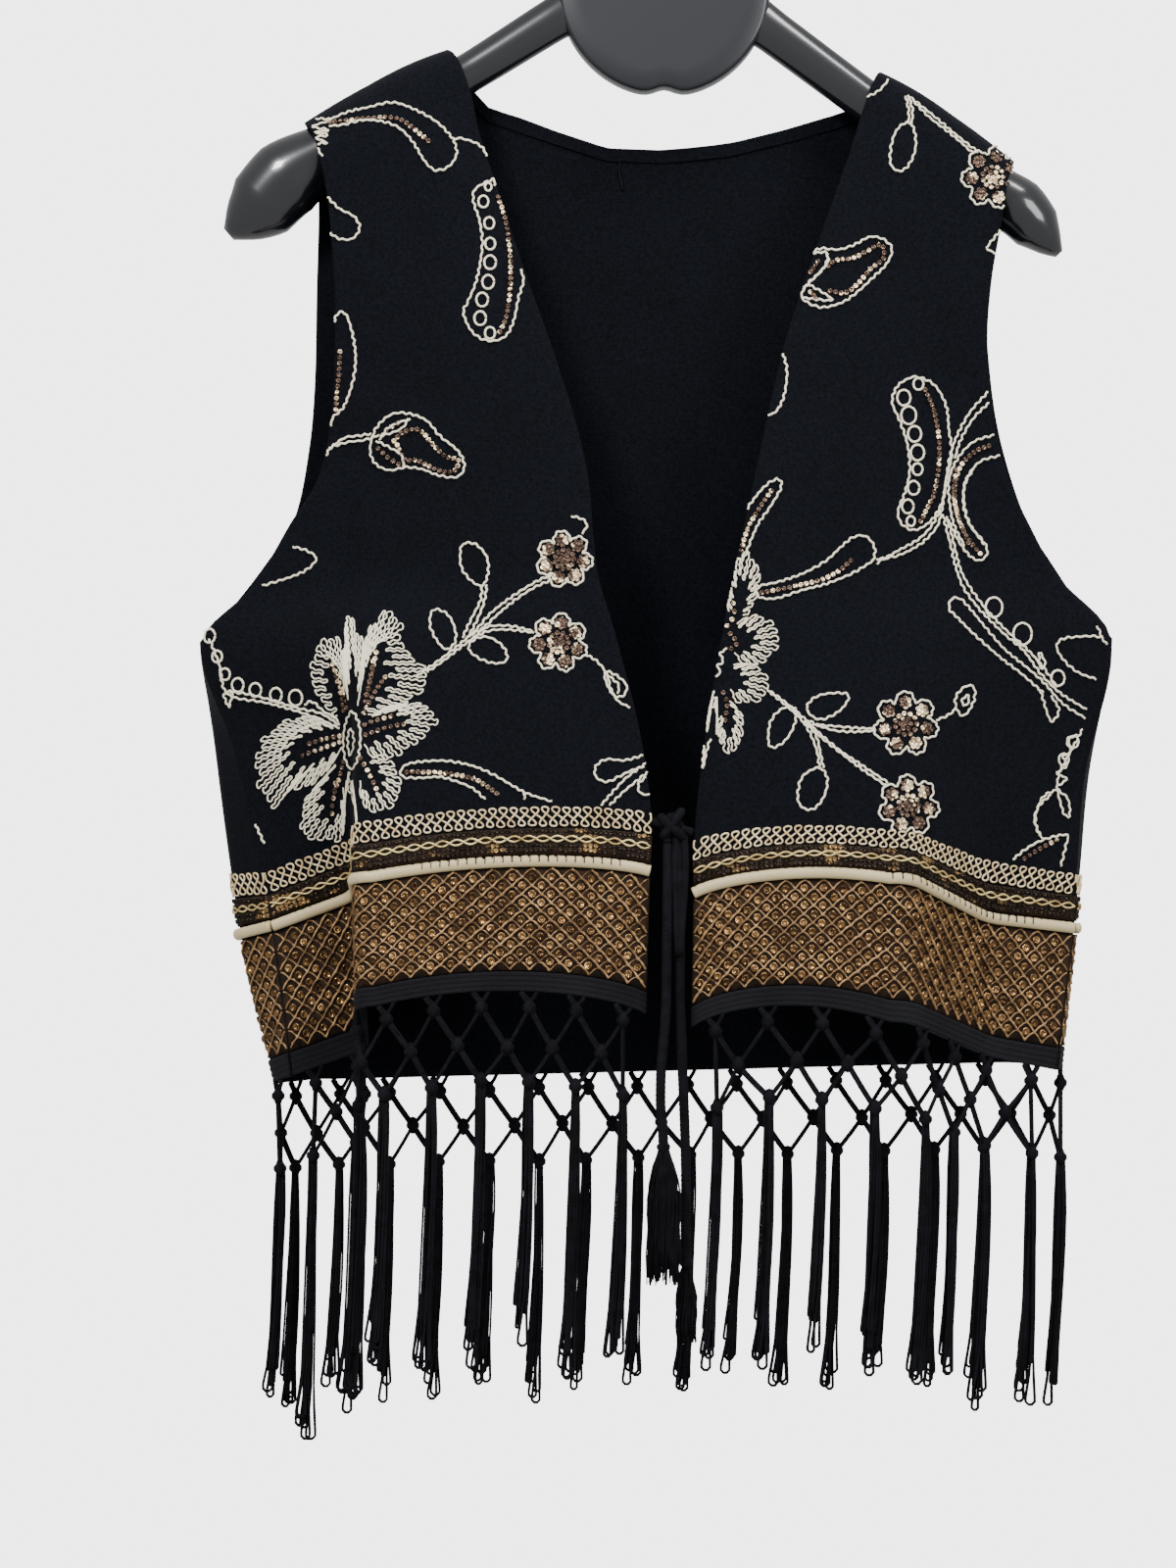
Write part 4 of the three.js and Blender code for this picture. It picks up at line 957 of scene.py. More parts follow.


# Embroidery of the fronts.
# Ivory cord couched on the cloth in leaves, buds, sprigs and one large flower on each
# front, with small bronze sequins in rows. The points were placed over the photo
# and are kept in its pixels, x to the right and y down, 0.52 mm each at the shoulders.
UNIT = 0.52                         # one pixel of the photo at the shoulders
PHOTO_MIDDLE = (600, 800)
EYE_X, EYE_AWAY, EYE_Z = -37.4, 1800, -526.2      # the camera, in millimetres
ABOVE_BORDER = 101.5                # where the cloth is free of the border
BETWEEN_FRONTS = 685                # x in the photo
CORD_LINES = [
    # open runs of couched cord, as x and y in the photo
    [(497, 160), (493, 152), (482, 145), (464, 142), (466, 157), (458, 170), (444, 174), (433, 164),
        (422, 146), (409, 132), (393, 125), (371, 123), (349, 128), (336, 129)],
    [(464, 144), (447, 126), (425, 113), (401, 105), (376, 110), (355, 115), (336, 123)],
    [(323, 122), (338, 123), (319, 130), (336, 133), (321, 136), (336, 138), (322, 141), (334, 146),
        (323, 148), (329, 160)],
    [(332, 199), (346, 213), (361, 221), (367, 233), (359, 244), (344, 243), (335, 235)],
    [(341, 329), (345, 320), (353, 321), (360, 342), (363, 366), (360, 390), (351, 415), (340, 426),
        (338, 435)],
    [(504, 190), (504, 183), (485, 193), (483, 206), (489, 225), (492, 247), (490, 268), (485, 290),
        (477, 309), (473, 320), (482, 339), (498, 348), (515, 344), (524, 328), (529, 304), (534, 287),
        (531, 275)],
    [(387, 449), (395, 438), (406, 432), (417, 428)],
    [(384, 450), (398, 457), (410, 465), (412, 477)],
    [(381, 445), (389, 445), (409, 438), (418, 427)],
    [(333, 465), (338, 457), (352, 447), (365, 445), (379, 443)],
    [(336, 457), (346, 454), (357, 451), (368, 450), (381, 447)],
    [(299, 558), (313, 562), (323, 570), (314, 581), (297, 589), (268, 598)],
    [(492, 599), (490, 614), (481, 632), (472, 651)],
    [(497, 597), (494, 615), (486, 635), (476, 653)],
    [(562, 587), (545, 595), (523, 609), (501, 626), (486, 643), (470, 657), (455, 669), (433, 685),
        (424, 691)],
    [(563, 592), (545, 600), (524, 614), (504, 631), (487, 648), (470, 661), (452, 675), (436, 686)],
    [(481, 648), (498, 640), (520, 639), (543, 644)],
    [(483, 651), (500, 644), (520, 643), (545, 646)],
    [(597, 668), (609, 675), (619, 688), (623, 703), (631, 716), (643, 722)],
    [(620, 689), (631, 699), (630, 708)],
    [(583, 527), (594, 530), (599, 536), (594, 545)],
    [(656, 771), (637, 776), (619, 775), (608, 782), (608, 793), (619, 798), (631, 793), (643, 787),
        (657, 782)],
    [(659, 779), (640, 793), (628, 805), (613, 822)],
    [(662, 787), (647, 799), (634, 810), (622, 822)],
    [(659, 793), (651, 801), (654, 810), (664, 811)],
    [(495, 816), (483, 805), (467, 798), (449, 793), (430, 794), (412, 793), (409, 787), (416, 780),
        (436, 777), (458, 777), (483, 782), (504, 791), (523, 802), (538, 810), (563, 818)],
    [(535, 808), (535, 816)],
    [(214, 652), (224, 678), (229, 703), (241, 712), (266, 716), (291, 722), (319, 731), (347, 743)],
    [(235, 706), (257, 709), (282, 716), (306, 723), (328, 728), (347, 740)],
    [(234, 722), (229, 709), (238, 706), (234, 722)],
    [(311, 719), (319, 716), (331, 726), (340, 731), (347, 737)],
    [(261, 841), (266, 852), (270, 861)],
    [(883, 99), (894, 95), (902, 88), (906, 82)],
    [(924, 99), (927, 113), (927, 127)],
    [(927, 99), (931, 113), (930, 127)],
    [(926, 98), (949, 116), (974, 137), (998, 156)],
    [(933, 105), (949, 121), (971, 138), (993, 157)],
    [(1022, 234), (1011, 247), (1007, 254), (1016, 259)],
    [(824, 290), (843, 301), (848, 307), (818, 304)],
    [(845, 259), (842, 272), (829, 286), (819, 296)],
    [(799, 361), (803, 379), (800, 404), (792, 420), (783, 424)],
    [(1014, 444), (993, 451), (977, 468), (968, 490), (969, 516), (974, 538), (984, 557)],
    [(1020, 465), (1000, 471), (987, 487), (983, 506), (988, 532), (1004, 556)],
    [(1008, 400), (990, 420), (977, 443), (970, 462), (966, 484), (961, 519)],
    [(1009, 411), (993, 427), (980, 449), (974, 468)],
    [(993, 479), (984, 494), (983, 517), (990, 537), (1004, 554), (1007, 565), (1000, 572), (990, 568),
        (979, 554), (967, 531)],
    [(962, 514), (956, 537), (939, 555), (916, 567), (894, 571)],
    [(959, 520), (950, 537), (936, 551), (916, 562), (894, 575)],
    [(962, 525), (969, 554), (975, 579), (984, 602), (1002, 625), (1024, 647), (1044, 664), (1061, 687),
        (1081, 707), (1108, 724)],
    [(966, 527), (973, 554), (979, 579), (989, 599), (1006, 622), (1028, 645), (1048, 663), (1064, 681),
        (1078, 701)],
    [(1064, 707), (1041, 687), (1019, 670), (993, 647), (979, 633), (969, 622), (970, 612), (979, 611),
        (990, 622), (1004, 639), (1024, 662), (1047, 681), (1064, 696), (1084, 718), (1107, 733)],
    [(1061, 704), (1070, 733), (1075, 735), (1080, 724), (1072, 710)],
    [(1060, 666), (1060, 679), (1064, 682), (1066, 676), (1061, 666)],
    [(1129, 658), (1121, 650), (1098, 650), (1082, 653), (1078, 662), (1087, 676), (1101, 687),
        (1118, 693)],
    [(1119, 639), (1124, 650)],
    [(709, 782), (711, 764), (715, 754), (718, 764), (717, 785), (721, 767), (725, 754)],
    [(742, 662), (735, 667), (738, 676), (732, 679), (735, 687), (730, 690)],
    [(783, 704), (800, 716), (820, 733), (831, 744), (854, 764), (879, 781), (906, 799)],
    [(786, 707), (803, 721), (820, 737), (837, 752), (857, 768), (879, 785), (904, 802)],
    [(823, 735), (848, 745), (871, 747), (892, 746)],
    [(826, 740), (848, 741), (871, 743), (891, 744)],
    [(820, 737), (828, 752), (834, 769), (836, 784)],
    [(824, 738), (833, 752), (837, 769), (840, 784)],
    [(955, 735), (967, 730), (975, 723)],
    [(1104, 744), (1092, 767), (1081, 787), (1078, 801)],
    [(1099, 750), (1088, 755), (1092, 767), (1084, 772), (1088, 781), (1078, 789), (1088, 795),
        (1078, 804), (1089, 815), (1091, 832), (1085, 830), (1078, 806)],
    [(1077, 806), (1064, 813), (1057, 829), (1057, 843), (1064, 857)],
    [(1072, 811), (1061, 821), (1055, 835), (1060, 853)],
    [(1033, 877), (1047, 866), (1064, 857), (1088, 852), (1087, 863), (1082, 884)],
]
CORD_LOOPS = [
    # closed outlines
    [(381, 443), (390, 430), (403, 422), (420, 423), (436, 430), (449, 445), (468, 461), (474, 477),
        (466, 487), (447, 485), (431, 479), (414, 477), (398, 480), (384, 474), (378, 461)],
    [(473, 555), (486, 556), (497, 569), (498, 586), (492, 598), (480, 592), (471, 579), (470, 564)],
    [(442, 623), (455, 626), (463, 638), (465, 654), (456, 663), (446, 654), (439, 638)],
    [(478, 661), (486, 652), (500, 651), (514, 661), (517, 674), (504, 677), (487, 671)],
    [(617, 686), (628, 689), (639, 699), (637, 709), (628, 711), (620, 700)],
    [(360, 726), (367, 740), (368, 759), (365, 777), (359, 785), (353, 774), (351, 759), (353, 740)],
    [(359, 743), (362, 753), (361, 765), (358, 771), (356, 762), (356, 751)],
    [(929, 126), (934, 140), (933, 156), (926, 170), (917, 175), (909, 168), (909, 152), (913, 137),
        (920, 128)],
    [(829, 259), (837, 254), (856, 255), (872, 250), (888, 242), (902, 245), (910, 255), (904, 270),
        (891, 283), (875, 298), (859, 309), (839, 314), (824, 309), (818, 302), (824, 290), (835, 280),
        (845, 267), (842, 258)],
    [(936, 385), (953, 393), (965, 414), (968, 439), (971, 462), (966, 487), (961, 513), (949, 532),
        (933, 541), (920, 535), (916, 522), (923, 503), (928, 481), (926, 455), (918, 430), (910, 411),
        (915, 395), (926, 387)],
    [(891, 571), (892, 559), (884, 548), (871, 548), (857, 559), (843, 572), (820, 585), (794, 594),
        (774, 599), (774, 609), (791, 611), (817, 603), (843, 596), (868, 586), (885, 576)],
    [(793, 489), (797, 497), (786, 517), (774, 534), (765, 554), (759, 569), (750, 569), (748, 557),
        (753, 534), (766, 514), (780, 497)],
    [(812, 724), (810, 741), (800, 757), (787, 763), (784, 752), (787, 735), (799, 723)],
    [(823, 724), (830, 713), (845, 708), (865, 709), (861, 721), (848, 731), (834, 734)],
    [(837, 784), (844, 795), (841, 812), (831, 825), (820, 825), (814, 815), (817, 796), (826, 787)],
    [(975, 721), (975, 711), (984, 701), (993, 701), (994, 713), (987, 727), (980, 730)],
    [(982, 720), (982, 713), (988, 710), (987, 718)],
]
RING_ROWS = [
    # x, y, radius of one small ring
    (498, 191, 4),
    (493, 206, 6),
    (499, 228, 6),
    (500, 249, 6),
    (500, 268, 7),
    (498, 288, 7),
    (492, 306, 7),
    (490, 325, 7),
    (500, 340, 6),
    (214, 649, 7),
    (222, 670, 6),
    (230, 688, 6),
    (243, 699, 7),
    (261, 704, 7),
    (282, 709, 7),
    (302, 712, 8),
    (937, 392, 6),
    (922, 406, 8),
    (927, 424, 9),
    (933, 443, 8),
    (936, 462, 8),
    (936, 479, 6),
    (932, 498, 7),
    (926, 517, 7),
    (929, 532, 5),
    (1014, 620, 10),
    (1043, 647, 11),
    (1079, 692, 8),
    (1095, 757, 6),
    (1085, 775, 6),
]
SEQUIN_ROWS = [
    # rows of small sequins
    [(336, 125), (355, 123), (376, 121), (398, 120), (412, 124), (425, 134), (437, 144)],
    [(508, 201), (515, 222), (519, 247), (521, 271), (520, 301), (516, 325), (510, 339)],
    [(347, 359), (346, 382), (344, 401), (343, 418)],
    [(389, 445), (398, 437), (406, 432)],
    [(386, 458), (397, 468), (407, 474)],
    [(402, 450), (412, 441), (428, 439), (441, 453), (455, 466), (468, 470), (463, 481), (447, 480),
        (425, 470), (414, 470), (407, 457), (402, 450)],
    [(415, 788), (436, 788), (461, 790), (486, 796), (507, 810)],
    [(340, 678), (347, 703), (351, 725)],
    [(384, 666), (379, 691), (373, 716)],
    [(393, 691), (381, 709), (371, 728)],
    [(412, 739), (393, 743), (373, 750)],
    [(399, 731), (381, 736), (372, 740)],
    [(384, 805), (377, 790), (368, 774)],
    [(343, 799), (340, 818), (339, 830)],
    [(351, 777), (347, 793), (342, 808)],
    [(309, 771), (328, 764), (347, 757)],
    [(316, 759), (331, 754), (347, 751)],
    [(343, 685), (350, 703), (354, 722)],
    [(381, 675), (377, 697), (374, 709)],
    [(845, 272), (853, 266), (869, 264), (882, 258), (899, 250), (901, 264), (888, 275), (875, 290),
        (862, 299), (847, 297)],
    [(835, 267), (827, 278)],
    [(827, 298), (832, 304)],
    [(944, 398), (953, 420), (958, 449), (957, 481), (952, 506), (939, 532)],
    [(1009, 455), (993, 462), (979, 478), (974, 503), (977, 526), (988, 554)],
    [(976, 480), (973, 497), (975, 517), (982, 540), (993, 557), (1000, 565)],
    [(777, 605), (794, 602), (817, 597), (840, 591), (857, 582), (868, 572)],
    [(787, 501), (772, 523), (762, 542), (756, 562)],
    [(748, 616), (749, 628), (742, 639)],
    [(745, 647), (752, 656), (746, 662)],
    [(738, 707), (742, 718), (740, 735)],
    [(1045, 876), (1061, 866), (1078, 857)],
]
FLOWERS = [
    # x, y, radius, petals, turn
    (576, 571, 29, 7, 0.1),
    (570, 656, 30, 7, 0.35),
    (1013, 181, 32, 7, 0.4),
    (924, 739, 33, 7, 0.2),
    (927, 822, 31, 7, 0.15),
]
ZIGZAGS = [
    # outer edge, inner edge
    ([(343, 733), (326, 712), (317, 688), (323, 663), (334, 649), (347, 654),
        (354, 675)], [(347, 731), (340, 712), (335, 694), (337, 678), (341, 674), (347, 685), (353, 716)]),
    ([(351, 678), (353, 632), (356, 626), (364, 641), (371, 654), (373, 675)], [(356, 723),
        (358, 685), (360, 682), (362, 685), (365, 703), (365, 723)]),
    ([(372, 654), (381, 635), (399, 622), (410, 638), (412, 660), (427, 675), (438, 689),
        (430, 706), (408, 722), (381, 731)], [(368, 703), (377, 669), (384, 657), (393, 661),
        (390, 678), (396, 691), (393, 703), (384, 712), (377, 722), (372, 730)]),
    ([(393, 722), (418, 717), (439, 722), (446, 734), (439, 747), (418, 764), (393, 776),
        (376, 770)], [(373, 734), (393, 728), (412, 733), (413, 738), (408, 745), (393, 751),
        (381, 757), (371, 760)]),
    ([(393, 768), (408, 793), (405, 818), (387, 829), (374, 825), (367, 810)], [(373, 774),
        (388, 790), (389, 802), (382, 810), (374, 807), (368, 796)]),
    ([(334, 790), (311, 818), (309, 852), (325, 857), (343, 858), (351, 852),
        (353, 827)], [(348, 774), (334, 799), (331, 824), (334, 835), (342, 836), (347, 824), (351, 802)]),
    ([(350, 858), (351, 827), (356, 808), (364, 827), (365, 852)], [(354, 808), (355, 793),
        (357, 787), (360, 793), (362, 808)]),
    ([(325, 731), (297, 733), (272, 750), (261, 774), (266, 808), (280, 824), (294, 808),
        (311, 805), (331, 790), (343, 774)], [(347, 743), (319, 747), (302, 757), (297, 768),
        (303, 777), (314, 781), (325, 776), (334, 771), (342, 767), (350, 762)]),
    ([(740, 619), (742, 585), (753, 569), (765, 565), (775, 585), (772, 608),
        (762, 630)], [(746, 628), (750, 602), (756, 594), (761, 594), (763, 602), (761, 616), (756, 628)]),
    ([(756, 632), (777, 628), (793, 642), (795, 656), (780, 676), (756, 679)], [(749, 639),
        (762, 646), (769, 652), (768, 656), (762, 663), (749, 666)]),
    ([(753, 677), (776, 681), (785, 704), (770, 717), (749, 717)], [(745, 679), (756, 690),
        (758, 697), (755, 703), (745, 703)]),
    ([(748, 718), (759, 735), (754, 760), (746, 769), (735, 760), (732, 735)], [(742, 713),
        (748, 727), (747, 744), (743, 748), (739, 744), (738, 727)]),
    ([(721, 752), (722, 730), (728, 721), (732, 735), (731, 752)], [(727, 716), (728, 707),
        (729, 704), (731, 707), (732, 718)]),
]


class PhotoView:
    """Carries places in the photo on to a front's outer face."""

    def __init__(self, face):
        self.face = face
        g = face.grid
        near = UNIT * (1 + g[..., 1] / EYE_AWAY)
        self.u = PHOTO_MIDDLE[0] + (g[..., 0] - EYE_X) / near
        self.v = PHOTO_MIDDLE[1] - (g[..., 2] - EYE_Z) / near
        ahead = 1 if face is right_face else -1
        self.turn = ahead
        self.lines = [np.maximum.accumulate(row * ahead + np.arange(len(row)) * 1e-6) for row in self.u]

    def find(self, x, y):
        """Fractional rows and columns of places, and which of them are on the panel."""
        x, y = np.asarray(x, float), np.asarray(y, float)
        columns = np.arange(self.u.shape[1])
        col = np.array([np.interp(x * self.turn, line, columns) for line in self.lines])
        height = np.array([np.interp(c, columns, v) for c, v in zip(col, self.v)])
        past = [(line[0] - 1.0 <= x * self.turn) & (x * self.turn <= line[-1] + 1.0) for line in self.lines]
        below = height > y[None]
        r = np.clip(below.sum(0) - 1, 0, len(self.lines) - 2)
        n = np.arange(len(x))
        a, b = height[r, n], height[r + 1, n]
        share = np.clip((a - y) / np.where(np.abs(a - b) < 1e-9, 1, a - b), 0, 1)
        inside = np.array(past)[r, n] & (np.abs(a + (b - a) * share - y) < 1.5)
        return r + share, col[r, n] * (1 - share) + col[r + 1, n] * share, inside

    def put(self, x, y, lift):
        """Points on the cloth, their outward directions, and which are on the panel."""
        row, col, inside = self.find(x, y)
        normal = unit(self.face.sample(self.face.normal, row, col))
        up = np.interp(row, np.arange(len(self.face.ups)), self.face.ups)
        point = self.face.sample(self.face.grid, row, col) + normal * lift
        return point, normal, inside & (up > ABOVE_BORDER)


def curve(points, step, closed=False):
    """Points a step apart along a smooth line through places in the photo."""
    p = np.array(points, float)
    if closed:
        p = np.concatenate([p[-2:], p, p[:3]])
    p3 = np.c_[p, np.zeros(len(p))]
    rough = np.linalg.norm(np.diff(p, axis=0), axis=1).sum()
    line = spline(p3, max(5, int(rough / 1.0)))[:, :2]
    if closed:
        start = np.argmin(np.linalg.norm(line[: len(line) // 2] - p[2], axis=1))
        stop = len(line) // 2 + np.argmin(np.linalg.norm(line[len(line) // 2:] - p[-3], axis=1))
        line = line[start:stop + 1]
    reach = np.concatenate([[0], np.cumsum(np.linalg.norm(np.diff(line, axis=0), axis=1))])
    at = np.linspace(0, reach[-1], max(4, int(reach[-1] / step)))
    return np.stack([np.interp(at, reach, line[:, k]) for k in (0, 1)], 1), at


def couch(heap, photo_view, points, closed=False, wavy=0.9, radius=0.62, step=1.6, waves=0.78):
    """Lays a couched cord through places in the photo: it waves a little between its stitches."""
    line, at = curve(points, step, closed)
    ahead = np.gradient(line, axis=0)
    ahead /= np.maximum(np.linalg.norm(ahead, axis=1, keepdims=True), 1e-9)
    sway = wavy * (0.75 + 0.35 * np.sin(at * 0.17)) * np.sin(at * waves + 0.8 * np.sin(at * 0.11))
    line = line + np.c_[-ahead[:, 1], ahead[:, 0]] * sway[:, None]
    point, normal, inside = photo_view.put(line[:, 0], line[:, 1], 0.55)
    thick = radius * (1 + 0.08 * np.sin(at * 1.9))
    runs = np.split(np.arange(len(line)), np.where(~inside)[0])
    for run in runs:
        run = run[inside[run]]
        if len(run) > 2:
            heap.add(*tube(point[run] / 1000, thick[run] / 1000, 5, up=normal[run], flat=0.8))


def side_of(points):
    """The front that a motif lies on."""
    return "left" if np.mean([x for x, *_ in points]) < BETWEEN_FRONTS else "right"


def flower_outline(x, y, radius, petals, turn):
    """A flower of round petals, as one closed line."""
    angle = np.linspace(0, 2 * math.pi, petals * 10, endpoint=False)
    reach = radius * (0.62 + 0.38 * np.abs(np.cos(petals * (angle - turn) / 2)) ** 0.6)
    return np.stack([x + reach * np.cos(angle), y + reach * np.sin(angle)], 1)


def zigzag(outer, inner):
    """The close loops of cord that fill a petal between its inner and outer edge. The passes
    wave in step, side by side."""
    rim, rim_at = curve(outer, 0.5)
    core, _ = curve(inner, 0.5)
    loops = max(3, int(round(rim_at[-1] / 9.8)))

    def on(line, share):
        return line[int(round(share * (len(line) - 1)))]

    path = []
    for i in range(loops):
        a, m, b = (i + 0.2) / loops, (i + 0.5) / loops, (i + 0.8) / loops
        aside = on(rim, min(1, m + 0.06)) - on(rim, max(0, m - 0.06))
        aside /= max(np.linalg.norm(aside), 1e-9)
        low = 0.04 if i % 2 else 0.3
        top = 0.94 + 0.07 * math.sin(i * 2.4)
        for share, start, stop in ((a, low, top), (b, top, 0.34 - low)):
            foot, end = on(core, share), on(rim, share)
            long = np.linalg.norm(end - foot)
            for t in np.linspace(start, stop, max(5, int(abs(stop - start) * long / 2))):
                sway = 0.95 * math.sin(t * long * 0.8 + 0.6) * min(1, 6 * abs(t - start) + 0.2)
                path.append(foot * (1 - t) + end * t + aside * sway)
            if share == a:
                path.append(on(core, m) * (1 - top - 0.03) + on(rim, m) * (top + 0.03))
    return path


photo_views = {"left": PhotoView(left_face), "right": PhotoView(right_face)}
cords = {"left": Heap(), "right": Heap()}
spangles = {"left": [], "right": []}

for points in CORD_LINES:
    side = side_of(points)
    couch(cords[side], photo_views[side], points)
for points in CORD_LOOPS:
    side = side_of(points)
    couch(cords[side], photo_views[side], points, closed=True)
for x, y, radius in RING_ROWS:
    angle = np.linspace(0, 2 * math.pi, 9, endpoint=False)
    around = np.stack([x + radius * 0.85 * np.cos(angle), y + radius * np.sin(angle)], 1)
    side = side_of([(x, y)])
    couch(cords[side], photo_views[side], around, closed=True, wavy=0.1, step=1.3)
for outer, inner in ZIGZAGS:
    side = side_of(outer)
    couch(cords[side], photo_views[side], zigzag(outer, inner), wavy=0, radius=0.45, step=1.3)
for points in SEQUIN_ROWS:
    spangles[side_of(points)].append(curve(points, 5.3)[0])
for x, y, radius, petals, turn in FLOWERS:
    side = side_of([(x, y)])
    couch(cords[side], photo_views[side], flower_outline(x, y, radius, petals, turn), closed=True)
    fill = []
    for n in range(petals):
        angle = turn + 2 * math.pi * n / petals
        middle = np.array([x + radius * 0.66 * math.cos(angle), y + radius * 0.66 * math.sin(angle)])
        fill.append(middle)
        for k in range(6):
            fill.append(middle + 4.4 * np.array([math.cos(angle + k * 1.047), math.sin(angle + k * 1.047)]))
    for ring, count in ((0.0, 1), (0.16, 6), (0.33, 11)):
        for k in range(count):
            angle = 2 * math.pi * k / count
            fill.append(np.array([x + radius * ring * math.cos(angle), y + radius * ring * math.sin(angle)]))
    spangles[side].append(np.array(fill))

EMBROIDERY = {}
for number, side in enumerate(("left", "right")):
    EMBROIDERY[side] = [finish_piece(cords[side].piece("embroidery_cord_" + side), [])]
    places = np.concatenate(spangles[side])
    point, normal, inside = photo_views[side].put(places[:, 0], places[:, 1], 0.25)
    point, normal = point[inside], normal[inside]
    rise = unit(np.array([0, 0, 1.0]) - normal * normal[:, 2:])
    axes = tilt(np.stack([np.cross(rise, normal), rise, normal], 1), 80 + number, 0.26)
    heap = Heap()
    heap.repeat(*ring_part(1.38, 0.5, 0.6, 8), point, axes)
    dots = heap.piece("embroidery_sequins_" + side)
    dots.data.transform(SHRINK)
    EMBROIDERY[side].append(finish_piece(dots, []))


# Hanger.
# Black moulded plastic: two contoured arms and a round hub plate in one, with a plain hook.
ARM_LEFT = [
    # x, z, half height, half depth
    [-38, -111, 13, 7], [-56, -121, 11.5, 8], [-100, -148.5, 10.5, 9], [-142, -172.5, 13, 12.5],
    [-178, -193, 16.5, 15.5], [-197, -205, 21, 17.5], [-211, -219.5, 19.5, 16],
    [-220.5, -228, 12.5, 11], [-228, -234.5, 4, 5],
]
ARM_RIGHT = [
    [42, -114, 13, 7], [61, -127.5, 11.5, 8], [113, -166, 11, 9.5], [150, -191.5, 13, 12.5],
    [178, -212, 14.5, 15], [191, -220.5, 15.5, 16], [200.5, -231, 13.5, 13.5],
    [207.5, -239.5, 7.5, 9], [212.5, -245, 2.5, 4],
]
HUB_X, HUB_Z, HUB_RADIUS, HUB_THICK, NOTCH, NOTCH_WIDE = 3, -105, 56, 16, 0.07, 0.13


def arm(rows):
    """An arm as a smooth loft through its sections, rounded off at the tip."""
    rows = np.array(rows, float)
    fine = spline(np.c_[rows[:, 0], rows[:, 1], np.zeros(len(rows))], 60)
    keys = np.abs(rows[:, 0])
    high = np.interp(np.abs(fine[:, 0]), keys, rows[:, 2])
    deep = np.interp(np.abs(fine[:, 0]), keys, rows[:, 3])
    ahead = unit(np.gradient(fine[:, :2], axis=0))
    around = 28
    turns = np.arange(around) * 2 * math.pi / around
    rise = high[:, None] * np.sin(turns)
    verts = np.stack([
        fine[:, :1] - ahead[:, 1:] * rise,
        deep[:, None] * np.cos(turns),
        fine[:, 1:2] + ahead[:, :1] * rise], -1)
    faces = []
    for i in range(len(fine) - 1):
        for k in range(around):
            a, b = i * around + k, i * around + (k + 1) % around
            faces.append([a, b, b + around, a + around])
    faces.append(list(range(around))[::-1])
    faces.append(list(range((len(fine) - 1) * around, len(fine) * around)))
    return verts.reshape(-1, 3), faces


def hub():
    """The round plate, with its shallow notch below and softly rounded rims."""
    steps = 112
    angle = np.arange(steps) * 2 * math.pi / steps
    radius = HUB_RADIUS * (1 - NOTCH * np.exp(-((np.abs(angle - 1.5 * math.pi) / NOTCH_WIDE) ** 2)))
    rings = []
    half = HUB_THICK / 2
    for inset, y in ((12, -half), (2.2, -half), (0.7, -half + 0.7), (0, -half + 2.2), (0, half - 2.2),
                     (0.7, half - 0.7), (2.2, half), (12, half)):
        r = radius - inset
        rings.append(np.stack([HUB_X + r * np.cos(angle), np.full(steps, y), HUB_Z + r * np.sin(angle)], 1))
    faces = []
    for i in range(len(rings) - 1):
        for k in range(steps):
            n = (k + 1) % steps
            faces.append([i * steps + k, i * steps + n, (i + 1) * steps + n, (i + 1) * steps + k])
    faces.append(list(range(steps))[::-1])
    faces.append(list(range((len(rings) - 1) * steps, len(rings) * steps)))
    return np.concatenate(rings), faces


hanger_heap = Heap()
for part_verts, part_faces in (arm(ARM_LEFT), arm(ARM_RIGHT)):
    hanger_heap.add(part_verts / 1000, part_faces)
hanger_piece = finish_piece(hanger_heap.piece("hanger_body"), ["hanger"])
plate_verts, plate_faces = hub()
finish_piece(mesh_piece("hanger_plate", plate_verts / 1000, plate_faces), [])

HOOK_RADIUS, HOOK_BEND = 3.5, 20
hub_top = HUB_Z + HUB_RADIUS
hook_angles = np.radians(np.linspace(-50, 205, 13))
hook_line = [[HUB_X - 0.2, 0, hub_top + 0.3], [HUB_X - 0.4, 0, hub_top + 4], [HUB_X + 1, 0, hub_top + 9]] + [
    [HOOK_BEND * math.cos(a), 0, HOOK_RADIUS - HOOK_BEND + HOOK_BEND * math.sin(a)] for a in hook_angles]
hook_path = spline(hook_line, 90)
thick = np.full(90, HOOK_RADIUS)
thick[-3:] = [3.3, 2.6, 1.2]
hook_verts, hook_faces = tube(hook_path / 1000, thick / 1000, 20, up=(0, -1, 0))
finish_piece(mesh_piece("hanger_hook_wire", hook_verts, hook_faces), ["hanger_hook"])


# Neck band of the back.
# A short upright line of stitching inside the back neck.
mark_column = int(np.argmin(np.abs(back_face.grid[-8, :, 0] + 17)))
mark_reach = float(back_face.reach[-8, mark_column])
mark_up = np.linspace(TOP - 24, TOP - 6, 7)
mark_path, mark_out = back_face.at(np.full(7, mark_reach), mark_up, -1.9)
finish_piece(
    mesh_piece("back_neck_mark", *tube(mark_path / 1000, 0.0008, 5, up=mark_out)), [])


# Finishes.
# Every finish is procedural; shared effects are node groups that give heights or masks.
def group(name, outputs):
    """A shader node group with named number outputs."""
    tree = bpy.data.node_groups.new(name, "ShaderNodeTree")
    for output in outputs:
        tree.interface.new_socket(output, in_out="OUTPUT", socket_type="NodeSocketFloat")
    return tree, tree.nodes.new("NodeGroupOutput")


